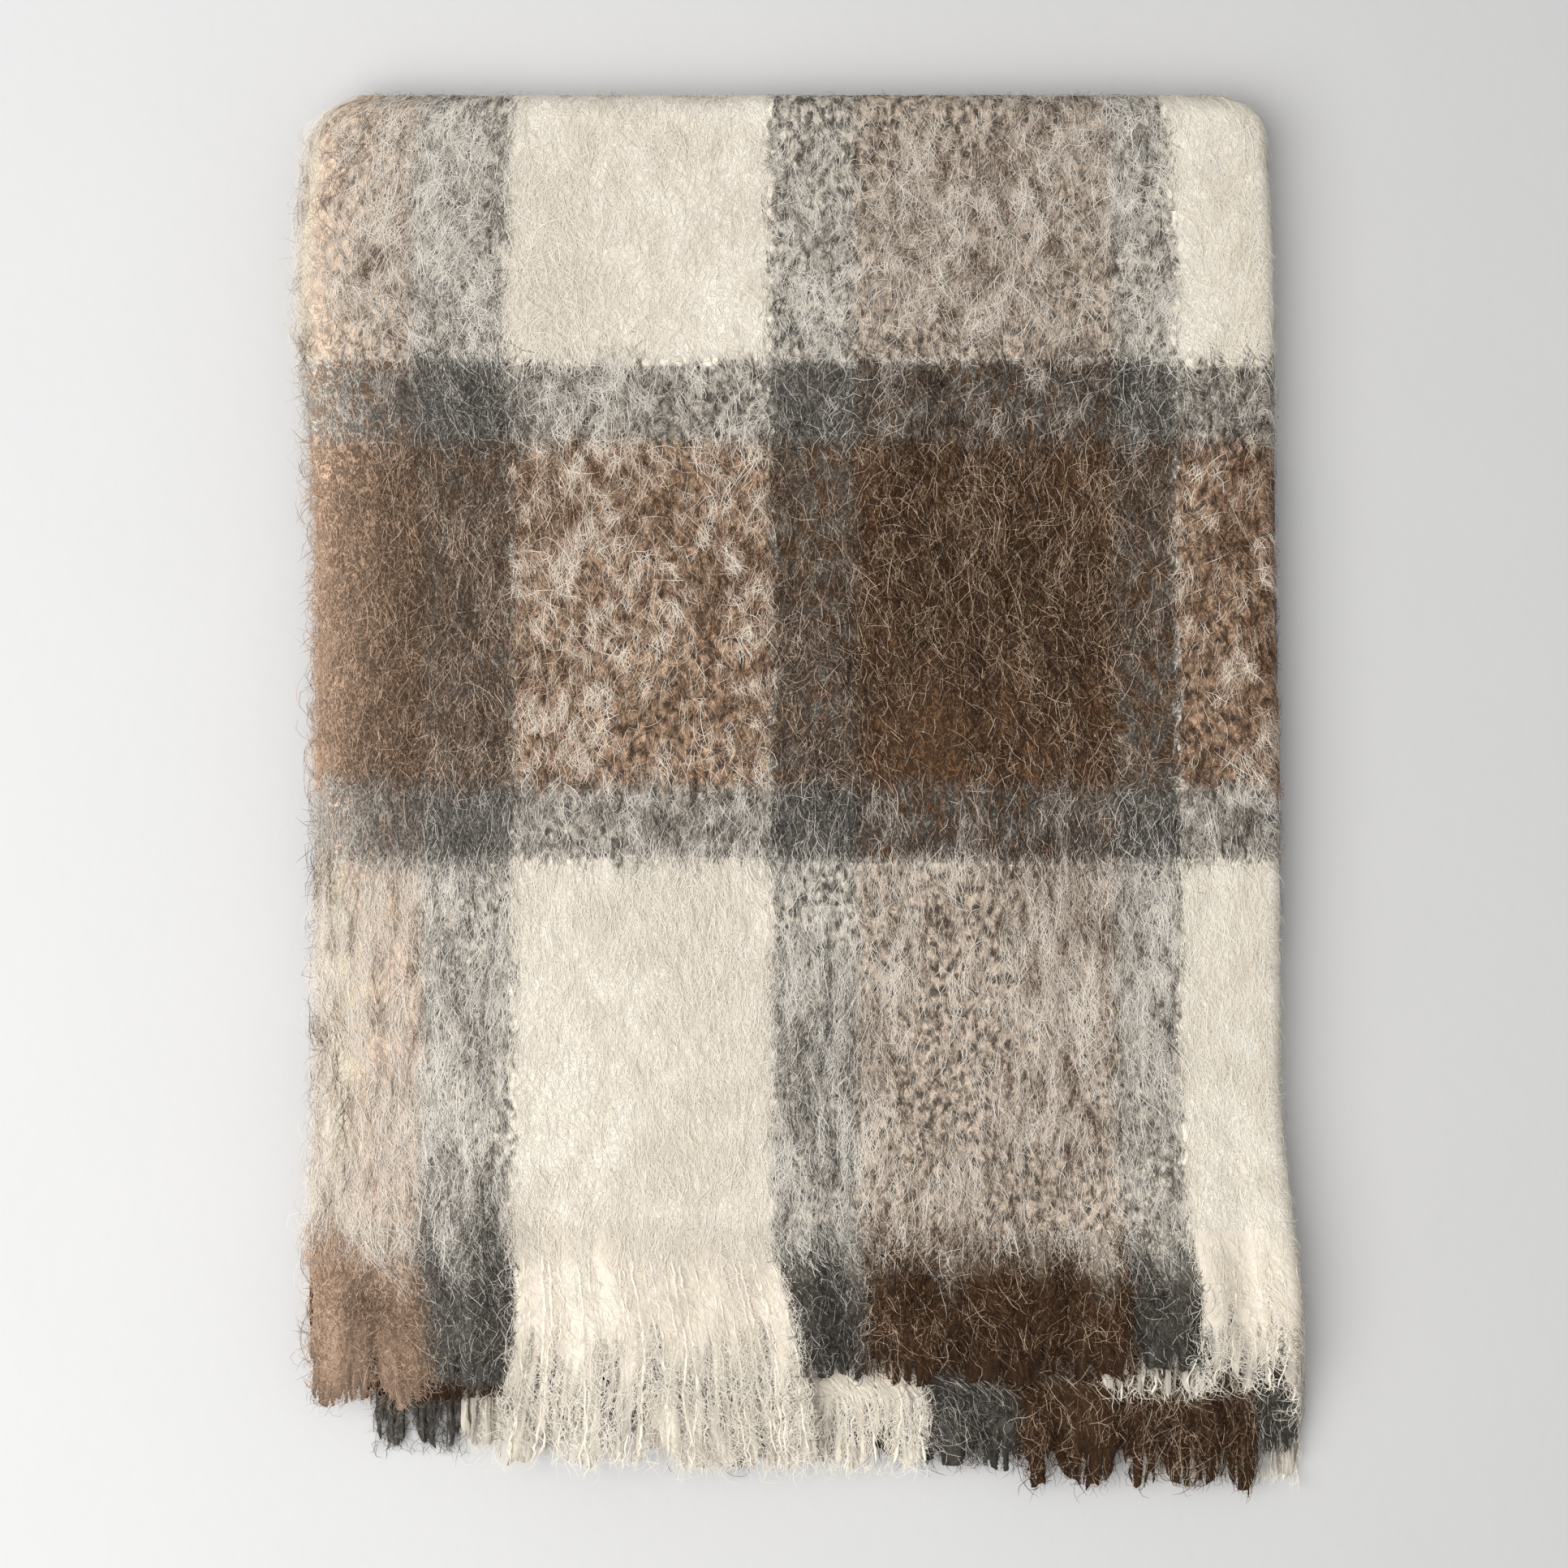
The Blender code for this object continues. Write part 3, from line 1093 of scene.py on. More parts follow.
@dataclass(frozen=True)
class PlaidFinish:
    """The felted cloth under the pile: woven stripes both ways, blotched where two wools cross."""

    plaid: Plaid
    feather: float = 0.006
    sheen: float = 0.05

    def stripes(
        self, nodes: Nodes, depth: Link, order: tuple[tuple[Yarn, float], ...], paling_and_left_light: Link
    ) -> Link:
        """The wool colour of one thread system at a depth from its edge, its dark wools painted paler near
        the first selvedge, mostly painted light from the lamp on the left.

        Args:
            nodes: The material in the making.
            depth: How far it is from the edge.
            order: The stripes from that edge.
            paling_and_left_light: How far the dark wools are painted paler, mostly painted light from the
                lamp on the left.

        Returns:
            The colour.
        """

        def tone(yarn: Yarn) -> Link | Colour:
            """One wool's colour."""
            middle = WOOLS[yarn].middle
            return middle if yarn is Yarn.CREAM else nodes.mix(paling_and_left_light, middle, PALE_AND_LEFT_LIT[yarn])

        colour = tone(order[0][0])
        place = 0.0
        for (_, width), (yarn, _) in zip(order[:-1], order[1:], strict=True):
            place += width
            step = depth.ramp(place - self.feather, place + self.feather)
            colour = nodes.mix(step, colour, tone(yarn))
        return colour

    def paling_and_left_light(self, s: Link, t: Link) -> Link:
        """How far dark wools are painted paler, as on the hairs: mostly painted light from the lamp on the
        left.

        Args:
            s: Places across the throw.
            t: Places along it.

        Returns:
            The share that is painted paler.
        """
        d = s.math("MAXIMUM", s, 0.0)
        share = 0.9 * d.math("EXPONENT", d * -38.5) + 0.1 * d.math("EXPONENT", d * d * -25.0)
        end = (1.0 - t.ramp(0.20, 0.30)) * (1.0 - d.ramp(0.066, 0.084))
        return (share + 0.38 * end) * 0.85

    def red(self, nodes: Nodes, colour: Link) -> Link:
        """The red part of a colour."""
        return nodes.link(nodes.add("ShaderNodeSeparateColor", {}, {0: colour}))

    def material(self, name: str) -> bpy.types.Material:
        """Build the nodes: stripes of warp and weft, blotches between them, curled hairs over both.

        Args:
            name: The material's name.

        Returns:
            The finished material.
        """
        nodes = Nodes(name)
        weave = nodes.attribute("weave")
        parts = nodes.add("ShaderNodeSeparateXYZ", {}, {0: weave})
        wobble = (nodes.noise(weave, 90.0) - 0.5) * 0.012
        s, t = nodes.link(parts, 0) + wobble, nodes.link(parts, 1) + wobble
        # Dark wools painted paler near the first selvedge: mostly painted light from the lamp on the left.
        paling_and_left_light = self.paling_and_left_light(s, t)
        warp = self.stripes(nodes, s.smaller(self.plaid.width - s), self.plaid.warp, paling_and_left_light)
        weft = self.stripes(nodes, t.smaller(self.plaid.length - t), self.plaid.weft, paling_and_left_light)
        blotches = nodes.noise(nodes.stretched(weave, (1.0, 0.5, 1.0)), 130.0, 3.0)
        pale_warp, pale_weft = (self.red(nodes, one).ramp(0.45, 0.80) for one in (warp, weft))
        dark = nodes.mix(pale_weft, weft, warp)
        crossed = nodes.mix(blotches.ramp(0.34, 0.66), warp, weft)
        veil, snow = pale_warp * (1.0 - pale_weft), pale_weft * (1.0 - pale_warp)
        crossed = nodes.mix(veil, crossed, nodes.affine(dark, 2.2, (0.090, 0.080, 0.068)))
        crossed = nodes.mix(snow, crossed, nodes.affine(dark, 1.2, (0.320, 0.284, 0.236)))
        spotted = nodes.noise(nodes.stretched(weave, (1.0, 0.7, 1.0)), 190.0, 2.0).ramp(0.34, 0.66)
        plain = 1.0 - 1.2 * paling_and_left_light
        crossed = nodes.scaled(crossed, 1.0 + (veil + snow) * (1.3 * spotted - 0.72) * plain)
        curled = nodes.curled(weave, 70.0, 0.006)
        fine = nodes.noise(weave, 1500.0, 3.0)
        lines = nodes.hairlines(curled, 150.0, 0.030)
        for scale, width in ((215.0, 0.036), (310.0, 0.045)):
            lines = lines.math("MAXIMUM", lines, nodes.hairlines(curled, scale, width))
        pale = self.red(nodes, crossed).ramp(0.30, 0.80)
        # Dark wools sit at 0.30 of their colour between the curled hairlines and far lighter on them: painted
        # shade in the felt's depth and painted highlight on its hairs, over the hairs' own texture. Pale
        # wools vary little.
        dark_shade = 0.30 + (2.6 - 1.2 * (veil + snow)) * lines * fine + 0.55 * fine
        pale_shade = 0.86 + 0.10 * lines + 0.10 * fine
        shade = dark_shade * (1.0 - pale) + pale_shade * pale
        nodes.shader.inputs["Sheen Weight"].default_value = self.sheen
        nodes.shader.inputs["Specular IOR Level"].default_value = 0.15
        height = lines * 0.7 + fine * 0.5 + blotches
        return nodes.finish(nodes.scaled(crossed, shade), 0.8 + 0.15 * fine, height, 0.0008)


@dataclass(frozen=True)
class HairFinish:
    """Single hairs: each one's own colour, a little uneven along it."""

    sheen: float = 0.08
    roughness: float = 0.70

    def material(self, name: str) -> bpy.types.Material:
        """Build the nodes on the hairs' own colours, with gaps where threads have come apart, painted shade
        towards the gaps and painted highlight on the threads' ridges.

        Args:
            name: The material's name.

        Returns:
            The finished material.
        """
        nodes = Nodes(name)
        weave = nodes.attribute("weave")
        parts = nodes.add("ShaderNodeSeparateXYZ", {}, {0: weave})
        loose = nodes.link(parts, 2)
        curled = nodes.curled(weave, 130.0, 0.0025)
        uneven = nodes.noise(weave, 420.0, 2.0)
        lines = nodes.hairlines(curled, 300.0, 0.050)
        threads = nodes.noise(nodes.stretched(curled, (1.0, 0.09, 0.0)), 210.0, 1.0)
        ridge = (threads - loose * 0.60).ramp(0.0, 0.30)
        own = nodes.attribute("wool", "Color")
        parts = nodes.add("ShaderNodeSeparateColor", {}, {0: own})
        dark = 1.0 - nodes.link(parts).ramp(0.25, 0.75)
        # Dark hairs and mats get lighter curled hairlines over a darker ground: painted highlight and painted
        # shade.
        shade = 0.86 + 0.24 * uneven + dark * (1.9 * lines * uneven - 0.25)
        # Where threads come apart: painted shade towards the gaps, painted highlight on the ridges.
        shade = shade * (1.0 - loose.ramp(0.0, 0.1) * (0.48 - 0.50 * ridge))
        colour = nodes.scaled(own, shade)
        nodes.feed(nodes.shader.inputs["Alpha"], (threads - loose * 0.60).ramp(0.0, 0.03))
        nodes.shader.inputs["Sheen Weight"].default_value = self.sheen
        nodes.shader.inputs["Specular IOR Level"].default_value = 0.12
        return nodes.finish(colour, self.roughness + 0.2 * uneven, ridge * loose.ramp(0.0, 0.1), 0.0015)


@dataclass(frozen=True)
class FloorFinish:
    """A pale plastered surface, painted a little darker away from the window side: painted shade of the light
    falling off.
    """

    lit: Colour = (0.650, 0.640, 0.632)
    far: Colour = (0.575, 0.565, 0.556)

    def material(self) -> bpy.types.Material:
        """Build the nodes: the slow painted change of shade, a faint mottle and a soft skim-coat relief.

        Returns:
            The finished material.
        """
        nodes = Nodes("pale_floor")
        place = nodes.link(nodes.add("ShaderNodeTexCoord", {}, {}), "Object")
        parts = nodes.add("ShaderNodeSeparateXYZ", {}, {0: place})
        mottle = nodes.noise(place, 9.0, 5.0)
        # Painted shade: the lit colour at the left turns to the darker far colour towards the right.
        colour = nodes.mix(nodes.link(parts, 0).ramp(-0.6, 0.6), self.lit, self.far)
        colour = nodes.scaled(colour, 0.985 + 0.03 * mottle)
        return nodes.finish(colour, 0.85, nodes.noise(place, 70.0, 6.0), 0.0004)


def bend_with_fold(piece: bpy.types.Object) -> None:
    """Bake the piece's placement into its mesh.

    Args:
        piece: A piece that crosses the top fold.
    """
    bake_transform(piece)


@dataclass
class WovenThrow:
    """The cloth itself: one closed sheet over the whole woven throw."""

    cloth: FoldedCloth
    finish: PlaidFinish
    thickness: float = 0.0070
    edge: float = 0.005
    fine: float = 0.0066
    coarse: float = 0.0130

    def lines(self) -> tuple[Array, Array]:
        """Grid lines, close together on the top leaf and round each bend.

        Returns:
            The places across and the places along.
        """
        c = self.cloth
        bend = c.bend
        s = np.concatenate(
            [
                np.array([0, 0.0012, 0.003]),
                np.linspace(self.edge, c.leaf_width, round(c.leaf_width / self.fine)),
                np.linspace(c.leaf_width, c.leaf_width + bend, 10)[1:],
                np.linspace(
                    c.leaf_width + bend, c.width - self.edge, round(c.leaf_width / self.coarse)
                )[1:],
                c.width - np.array([0.003, 0.0012, 0]),
            ]
        )
        upper = c.upper_length(np.zeros(1))[0]
        around = 1.5 * np.pi * c.pitch
        t = np.concatenate(
            [
                np.array([0, 0.0012, 0.003]),
                np.linspace(self.edge, upper, round(upper / self.fine)),
                np.linspace(upper, upper + around, 16)[1:],
                np.linspace(
                    upper + around, c.length - self.edge, round(upper / self.coarse)
                )[1:],
                c.length - np.array([0.003, 0.0012, 0]),
            ]
        )
        return s, t

    def build(self) -> bpy.types.Object:
        """The sheet, thinned to a rounded edge along selvedges and fringe roots.

        Returns:
            The piece.
        """
        c = self.cloth
        s, t = np.meshgrid(*self.lines(), indexing="ij")
        depth = np.minimum.reduce([s, c.width - s, t, c.length - t])
        round_off = np.sqrt(1 - (1 - np.clip(depth / self.edge, 0.03, 1)) ** 2)
        half = self.thickness / 2 * round_off
        face = half + c.relief(s, t) * round_off
        slab = closed_slab(c, s, t, face, -half, c.woven_s)
        piece = slab.write("woven_throw", self.finish.material("woven_plaid_wool"))
        bend_with_fold(piece)
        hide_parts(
            *(f"{part}_{ply}_leaf" for part in ("upper", "lower") for ply in ("outer", "inner")),
            "upper_side_fold",
            "lower_side_fold",
            "inner_top_fold",
            "outer_top_fold",
        )
        return piece


@dataclass(frozen=True)
class Bunch:
    """One colour's fringe on one leaf.

    length is next to the plain fringe. lean and fan move its tip, in metres. mat is the share of it that
    is felted together. lobes are the relative widths of the rounded locks that its end falls into, and
    notch is how deep the cuts between them go, as a share of its length; square makes locks broader and
    cuts narrower. strands are yarns that lie on the mat, not in it. parted is how far down its threads
    begin to come apart.
    """

    length: float = 1.0
    lean: float = 0.0
    fan: float = 0.0
    mat: float = 1.0
    lobes: tuple[float, ...] = (1.0,)
    notch: float = 0.08
    square: float = 2.6
    yarn_pitch: float = 0.022
    strands: bool = False
    parted: float = 0.50


@dataclass(frozen=True)
class LeafFringe:
    """A leaf's end: which ply and which end of the cloth, and its seven bunches from the selvedge in."""

    name: str
    body: str
    outer: bool
    near_end: bool
    bunches: tuple[Bunch, ...]
    density: float = 1.0


@dataclass
class FringeMaker:
    """Makes the fringe: felted mats that thin towards the tips, crimped yarns in them, and loose hairs."""

    cloth: FoldedCloth
    plaid: Plaid
    tint: Tint
    pile: Pile
    finish: bpy.types.Material
    length: float
    yarn_radius: float = 0.0011
    rings: int = 22
    sides: int = 5
    felt_per_m2: float = 160_000.0
    long_per_m2: float = 130_000.0
    ragged: SmoothNoise = field(default_factory=lambda: SmoothNoise(41, 0.0055, 1.0))
    crimp: SmoothNoise = field(default_factory=lambda: SmoothNoise(42, 0.004, 0.0042))
    sway: SmoothNoise = field(default_factory=lambda: SmoothNoise(43, 0.004, 0.035))

    def span(self, leaf: LeafFringe, number: int) -> tuple[float, float]:
        """Where the bunch's stripe lies on the leaf's end, as places across the throw.

        Args:
            leaf: The leaf's end.
            number: The bunch's place from the selvedge, from 0.

        Returns:
            Its start and its end.
        """
        edges = np.concatenate([[0.0], Plaid.edges(self.plaid.warp)])
        start = edges[number]
        end = edges[number + 1] if number + 1 < len(edges) else self.plaid.width / 2
        slip = 0.0 if leaf.near_end else self.cloth.slip
        if leaf.outer:
            low, high = start - slip, end - slip
            if number + 1 == len(edges):
                high = self.cloth.side_s
            return max(low, 0.0), min(high, self.cloth.side_s)
        low, high = self.plaid.width - end - slip, self.plaid.width - start - slip
        if number == 0:
            high = self.plaid.width
        if number + 1 == len(edges):
            low = self.cloth.side_s
        return max(low, self.cloth.side_s), min(high, self.plaid.width)

    def bent(
        self, leaf: LeafFringe, bunch: Bunch, span: tuple[float, float], s: Array, q: Array
    ) -> tuple[Array, Array]:
        """Carry a place s and a share q of the way down the fringe onto the cloth's own (s, t).

        s moves by lean, most of it in the first half and less near the far side so that nothing leaves the
        stack, and by fan times the place in the bunch from -1 to 1 times q^1.3. t runs out from the root.

        Args:
            leaf: The leaf's end.
            bunch: The bunch on it.
            span: Where the bunch starts and ends across the throw.
            s: Places across the throw.
            q: Share of the way down the fringe.

        Returns:
            The moved places across and along.
        """
        middle, half = (span[0] + span[1]) / 2, max((span[1] - span[0]) / 2, 1e-4)
        side = (s - middle) / half
        sign = 1.0 if leaf.outer else -1.0
        room = self.cloth.side_s - s if leaf.outer else s - self.cloth.side_s
        other = self.cloth.side_s - room
        ahead = room if bunch.lean > 0 else other
        lean = bunch.lean * np.clip(ahead / 0.10, 0.0, 1.0)
        bend = np.maximum(q, 0.0) ** 1.3
        out = np.maximum(q, 0.0) * self.length * bunch.length + np.minimum(q, 0.0) * self.length
        t = -out if leaf.near_end else self.cloth.length + out
        early = smoothstep(-0.1, 0.5, q)
        return s + sign * lean * early + bunch.fan * side * bend, t + 0 * s

    def lobe(self, bunch: Bunch, span: tuple[float, float], s: Array) -> Array:
        """Place in its own lock, from -1 to 1, of each place across the bunch.

        Args:
            bunch: The bunch on it.
            span: Where the bunch starts and ends across the throw.
            s: Places across the throw.

        Returns:
            The place in the lock.
        """
        cuts = np.concatenate([[0.0], np.cumsum(bunch.lobes)]) / sum(bunch.lobes)
        share = np.clip((s - span[0]) / max(span[1] - span[0], 1e-6), 0, 0.9999)
        k = np.searchsorted(cuts, share, side="right") - 1
        return 2 * (share - cuts[k]) / (cuts[k + 1] - cuts[k]) - 1

    def reach(self, leaf: LeafFringe, bunch: Bunch, span: tuple[float, float], s: Array) -> Array:
        """How far down the mat goes: each lock ends in half an ellipse, with a ragged rim.

        Args:
            leaf: The leaf's end.
            bunch: The bunch on it.
            span: Where the bunch starts and ends across the throw.
            s: Places across the throw.

        Returns:
            A share of the bunch's length.
        """
        u = self.lobe(bunch, span, s)
        key = 7.0 * (leaf.outer + 2 * leaf.near_end)
        cut = bunch.notch * (1 - np.sqrt(np.clip(1 - np.abs(u) ** bunch.square, 0, 1)))
        return bunch.mat - cut + 0.045 * self.ragged(s, np.full_like(s, key))

    def mat(self, leaf: LeafFringe, bunch: Bunch, span: tuple[float, float]) -> Surface:
        """The felted part: a slab that thins towards its tip and towards the cuts between its locks.

        Args:
            leaf: The leaf's end.
            bunch: The bunch on it.
            span: Where the bunch starts and ends across the throw.

        Returns:
            The closed slab.
        """
        columns = max(int((span[1] - span[0]) / 0.0022), 6)
        inset = 0.0004
        s, q = np.meshgrid(
            np.linspace(span[0] + inset, span[1] - inset, columns),
            np.linspace(0, 1, 24),
            indexing="ij",
        )
        u = self.lobe(bunch, span, s)
        edge = np.minimum(s - span[0], span[1] - s)
        rounded = np.sqrt(1 - (1 - np.clip(edge / 0.005, 0.04, 1)) ** 2)
        rounded = 1 - (1 - rounded) * smoothstep(0.0, 0.5, q)
        thick = (0.0034 - 0.0011 * q) * rounded * np.sqrt(np.clip((1 - q) / 0.10, 0.02, 1))
        along = q * self.reach(leaf, bunch, span, s) - 0.10 * (1 - q) ** 8
        thick = thick * (1 - 0.6 * q * np.abs(u) ** 3) * (0.3 + 0.7 * smoothstep(-0.095, -0.05, along))
        moved_s, t = self.bent(leaf, bunch, span, s, along)
        depth = q * self.length * bunch.length
        face = thick + 0.0009 * self.sway(s * 0.35, depth) * smoothstep(0.0, 0.2, q)
        face = face + self.cloth.relief(s, np.clip(t, 0, self.cloth.length)) * (1 - smoothstep(0, 0.4, q))
        face = np.maximum(face, -thick + 0.0006)
        slab = closed_slab(self.cloth, moved_s, t, face, -thick, self.cloth.woven_s)
        slab.weave = np.tile(np.stack([self.cloth.woven_s(s, t), t], axis=-1).reshape(-1, 2), (2, 1))
        far, most = (0.70, 0.76) if bunch.strands else (1.0, 0.80)
        gaps = most * smoothstep(bunch.parted, far, q * bunch.mat)
        slab.loose = np.tile(gaps.ravel(), 2)
        return slab

    def yarns(
        self, leaf: LeafFringe, bunch: Bunch, span: tuple[float, float], rng: np.random.Generator
    ) -> Surface:
        """Crimped yarns: a ring of points carried along each path, its radius closing at the tip.

        Args:
            leaf: The leaf's end.
            bunch: The bunch on it.
            span: Where the bunch starts and ends across the throw.
            rng: Source of random numbers.

        Returns:
            All the yarns as one surface.
        """
        count = max(int((span[1] - span[0]) / bunch.yarn_pitch), 1)
        rings = self.rings * (2 if bunch.strands else 1)
        q = np.linspace(0, 1, rings)[None, :]
        root = np.linspace(span[0], span[1], count + 2)[1:-1, None]
        root = root + rng.normal(0, 0.0018, (count, 1))
        lock = np.round(root / 0.024 + rng.normal(0, 0.25, (count, 1))) * 0.024
        reach = self.reach(leaf, bunch, span, root) + rng.normal(0.01, 0.03, (count, 1))
        run = q * self.length * bunch.length
        s = root + 0.35 * (lock - root) * smoothstep(0.45, 1.0, q)
        s = s + 0.0010 * self.crimp(root * 9, run) + 0.0045 * q * self.sway(root * 7, run)
        s = s + 0.0040 * self.sway(root * 3, run * 2.2) * smoothstep(0.75, 1.0, q)
        moved_s, t = self.bent(leaf, bunch, span, s, q * reach)
        high = 0.0024 if bunch.strands else -0.0010
        lift = 0.0010 + high * smoothstep(0.0, 0.15, q) - 0.0022 * q * bunch.strands
        lift = lift + 0.0007 * self.crimp(root * 5 + 3, run)
        points, normals = self.cloth.place(moved_s, t, lift)
        tangent = unit(np.gradient(points, axis=1))
        side = unit(np.cross(tangent, normals))
        upward = np.cross(side, tangent)
        turn = np.arange(self.sides) / self.sides * 2 * np.pi
        slub = 1 + 0.40 * self.crimp(root * 13, run * 1.3)
        tip = np.sqrt(np.clip((1 - q) / 0.05, 0.03, 1))
        thickness = rng.uniform(0.5, 1.1, (count, 1))
        radius = (self.yarn_radius * thickness * slub * tip)[..., None, None]
        ring = side[..., None, :] * np.cos(turn)[:, None]
        ring = ring + upward[..., None, :] * np.sin(turn)[:, None]
        shell = points[..., None, :] + radius * ring
        k, n = rings, self.sides
        base = np.arange(count)[:, None, None] * k * n
        i = np.arange(k - 1)[None, :, None] * n
        j = np.arange(n)[None, None, :]
        a, b = base + i + j, base + i + (j + 1) % n
        faces = np.stack([a, a + n, b + n, b], axis=-1).reshape(-1, 4)
        weave = np.stack([self.cloth.woven_s(moved_s, t), t], axis=-1)
        around = 0.0004 * np.stack([np.cos(turn), np.sin(turn)], axis=-1)
        weave = np.repeat(weave[:, :, None, :], n, axis=2) + around
        return Surface(shell.reshape(-1, 3), faces, weave.reshape(-1, 2))

    def fuzz(
        self,
        leaf: LeafFringe,
        bunch: Bunch,
        span: tuple[float, float],
        hairs: Hairs,
        rng: np.random.Generator,
    ) -> Surface:
        """Hairs over the bunch down to its rim, and past it where its yarns go on alone.

        Args:
            leaf: The leaf's end.
            bunch: The bunch on it.
            span: Where the bunch starts and ends across the throw.
            hairs: What the hairs are like.
            rng: Source of random numbers.

        Returns:
            All the hairs as one surface.
        """
        count = hairs.count
        s = rng.uniform(*span, count)
        rim = self.reach(leaf, bunch, span, s)
        q = rng.uniform(-0.04, 1.0, count) * rim
        loose = rng.random(count) < (1 - bunch.mat) * 0.6
        q = np.where(loose, rng.uniform(bunch.mat, 1.0, count), q)
        heading = 0.5 * self.pile.swirl(s, q * self.length) + rng.normal(0, hairs.spread, count)
        scale = self.length * bunch.length
        along_s, along_t, lift = self.pile.paths(s, -q * scale, heading, hairs, rng)
        down = -along_t / scale
        moved_s, t = self.bent(leaf, bunch, span, along_s, down)
        end = smoothstep(0.75, 1.05, down / np.maximum(rim, 0.1)[:, None])
        lift = lift - 0.0010 * np.clip(down, 0, 1) - 0.0018 * end
        place = along_t if leaf.near_end else self.cloth.length - along_t
        inside = np.clip(along_s, span[0] + 0.001, span[1] - 0.001)
        colours = self.tint.colours(inside, place, rng, hairs.light)
        return self.pile.ribbons(moved_s, t, lift, colours, hairs, rng)

    def coloured(self, solid: Surface, yarn: Yarn, light: float) -> Surface:
        """The solid with its wool's colour, streaked along it and painted paler near the first selvedge,
        mostly painted light from the lamp on the left.

        Args:
            solid: The mat or its yarns.
            yarn: Their wool.
            light: How light they are, from 0 to 1.

        Returns:
            The same surface.
        """
        s, t = solid.weave[:, 0], solid.weave[:, 1]
        streak = self.crimp(s * 3, t) * 0.18
        light = np.clip(light + streak, 0, 1)
        solid.wool = self.tint.shaded(WOOLS[yarn].shades()[None], light)
        if yarn is not Yarn.CREAM:
            # Dark wools painted paler near the first selvedge: mostly painted light from the lamp on the
            # left.
            paling_and_left_light = self.tint.paling_and_left_light(s, t)[:, None] * (0.65 + 0.6 * light[:, None])
            solid.wool += (np.array(PALE_AND_LEFT_LIT[yarn]) - solid.wool) * np.clip(paling_and_left_light, 0, 1)
        out = np.maximum(-t, t - self.cloth.length)
        woven = 0.45 * (1 - smoothstep(-0.010, 0.040, out + 0.016 * self.tint.edges(s * 0.6, t * 0)))
        solid.wool += (np.array(WOOLS[Yarn.CREAM].deep) - solid.wool) * woven[:, None]
        solid.shading = solid.vertex_normals()
        return solid

    def build(self, leaf: LeafFringe) -> list[bpy.types.Object]:
        """All the bunches of one leaf, each one piece on the leaf's body.

        Args:
            leaf: The leaf's end.

        Returns:
            The seven pieces.
        """
        pieces = []
        for number, ((yarn, _), bunch) in enumerate(
            zip(self.plaid.warp, leaf.bunches, strict=True)
        ):
            span = self.span(leaf, number)
            rng = np.random.default_rng(500 + 10 * number + 100 * leaf.outer + 200 * leaf.near_end)
            area = (span[1] - span[0]) * self.length * bunch.length * leaf.density
            # Mats and the yarns inside them lean to the deep shade; strands that lie on top are drawn
            # lighter: painted shade and painted light.
            shade = 0.08 if yarn is Yarn.CREAM else 0.26
            whole = self.coloured(self.mat(leaf, bunch, span), yarn, shade)
            light = 0.34 if bunch.strands else 0.06
            threads = self.coloured(self.yarns(leaf, bunch, span, rng), yarn, light)
            whole = whole.joined(threads)
            for hairs, density in ((FELT, self.felt_per_m2), (TUFT, self.long_per_m2)):
                some = hairs.fewer(max(int(area * density), 8))
                whole = whole.joined(self.fuzz(leaf, bunch, span, some, rng))
            node = f"{leaf.name}_fringe_{number + 1}_{yarn.value.removesuffix('_yarn')}"
            piece = whole.write(f"{node}_yarns", self.finish)
            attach(piece, leaf.body)
            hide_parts(node)
            pieces.append(piece)
        return pieces


LOOSE = Bunch(
    mat=0.95,
    lobes=(1.0, 1.3, 0.8, 1.2),
    notch=0.35,
    square=3.0,
    yarn_pitch=0.0062,
    strands=True,
    parted=0.16,
)
TOP_BUNCHES = (
    Bunch(1.04, lean=0.0075, fan=0.011, lobes=(0.52, 0.48), notch=0.30),
    Bunch(0.90, lean=0.004, fan=-0.004),
    replace(
        LOOSE,
        length=1.40,
        lean=0.010,
        fan=0.025,
        mat=0.98,
        lobes=(0.55, 1.15, 1.2, 0.5),
        notch=0.30,
        square=5.0,
    ),
    Bunch(0.89, lean=0.010, fan=-0.006, lobes=(1.0, 0.8)),
    Bunch(0.88, lean=0.003, fan=0.003, lobes=(1.2, 2.0, 1.0), notch=0.07),
    Bunch(0.83, lean=0.005, fan=0.003),
    replace(LOOSE, length=0.96, lean=0.010, fan=0.012, lobes=(1, 1.4, 1.2), parted=0.45),
)
UNDER_BUNCHES = (
    Bunch(0.50),
    Bunch(0.50),
    replace(LOOSE, length=0.50, lean=-0.020),
    Bunch(0.55),
    Bunch(0.60, lean=-0.030),
    Bunch(0.60, lean=-0.050),
    replace(LOOSE, length=0.86, lean=-0.062, lobes=(1, 1.3, 0.8, 1.1), notch=0.25),
)
MIDDLE_BUNCHES = (
    Bunch(0.38, lean=0.030),
    Bunch(0.48, lean=0.042, lobes=(1, 1), notch=0.2),
    replace(LOOSE, length=0.82, lean=0.042, lobes=(1.1, 1.6, 1, 2), notch=0.45),
    Bunch(0.80, lean=0.042, lobes=(1, 1.3), notch=0.10),
    Bunch(
        0.91,
        lean=0.042,
        lobes=(1.0, 1.3, 0.7, 1.2, 0.6),
        notch=0.30,
        yarn_pitch=0.012,
        parted=0.35,
    ),
    Bunch(0.72, lean=0.040, lobes=(0.8, 1.0), notch=0.25, parted=0.35),
    replace(LOOSE, length=0.60, lean=0.030, lobes=(1.0, 1.0), notch=0.4),
)
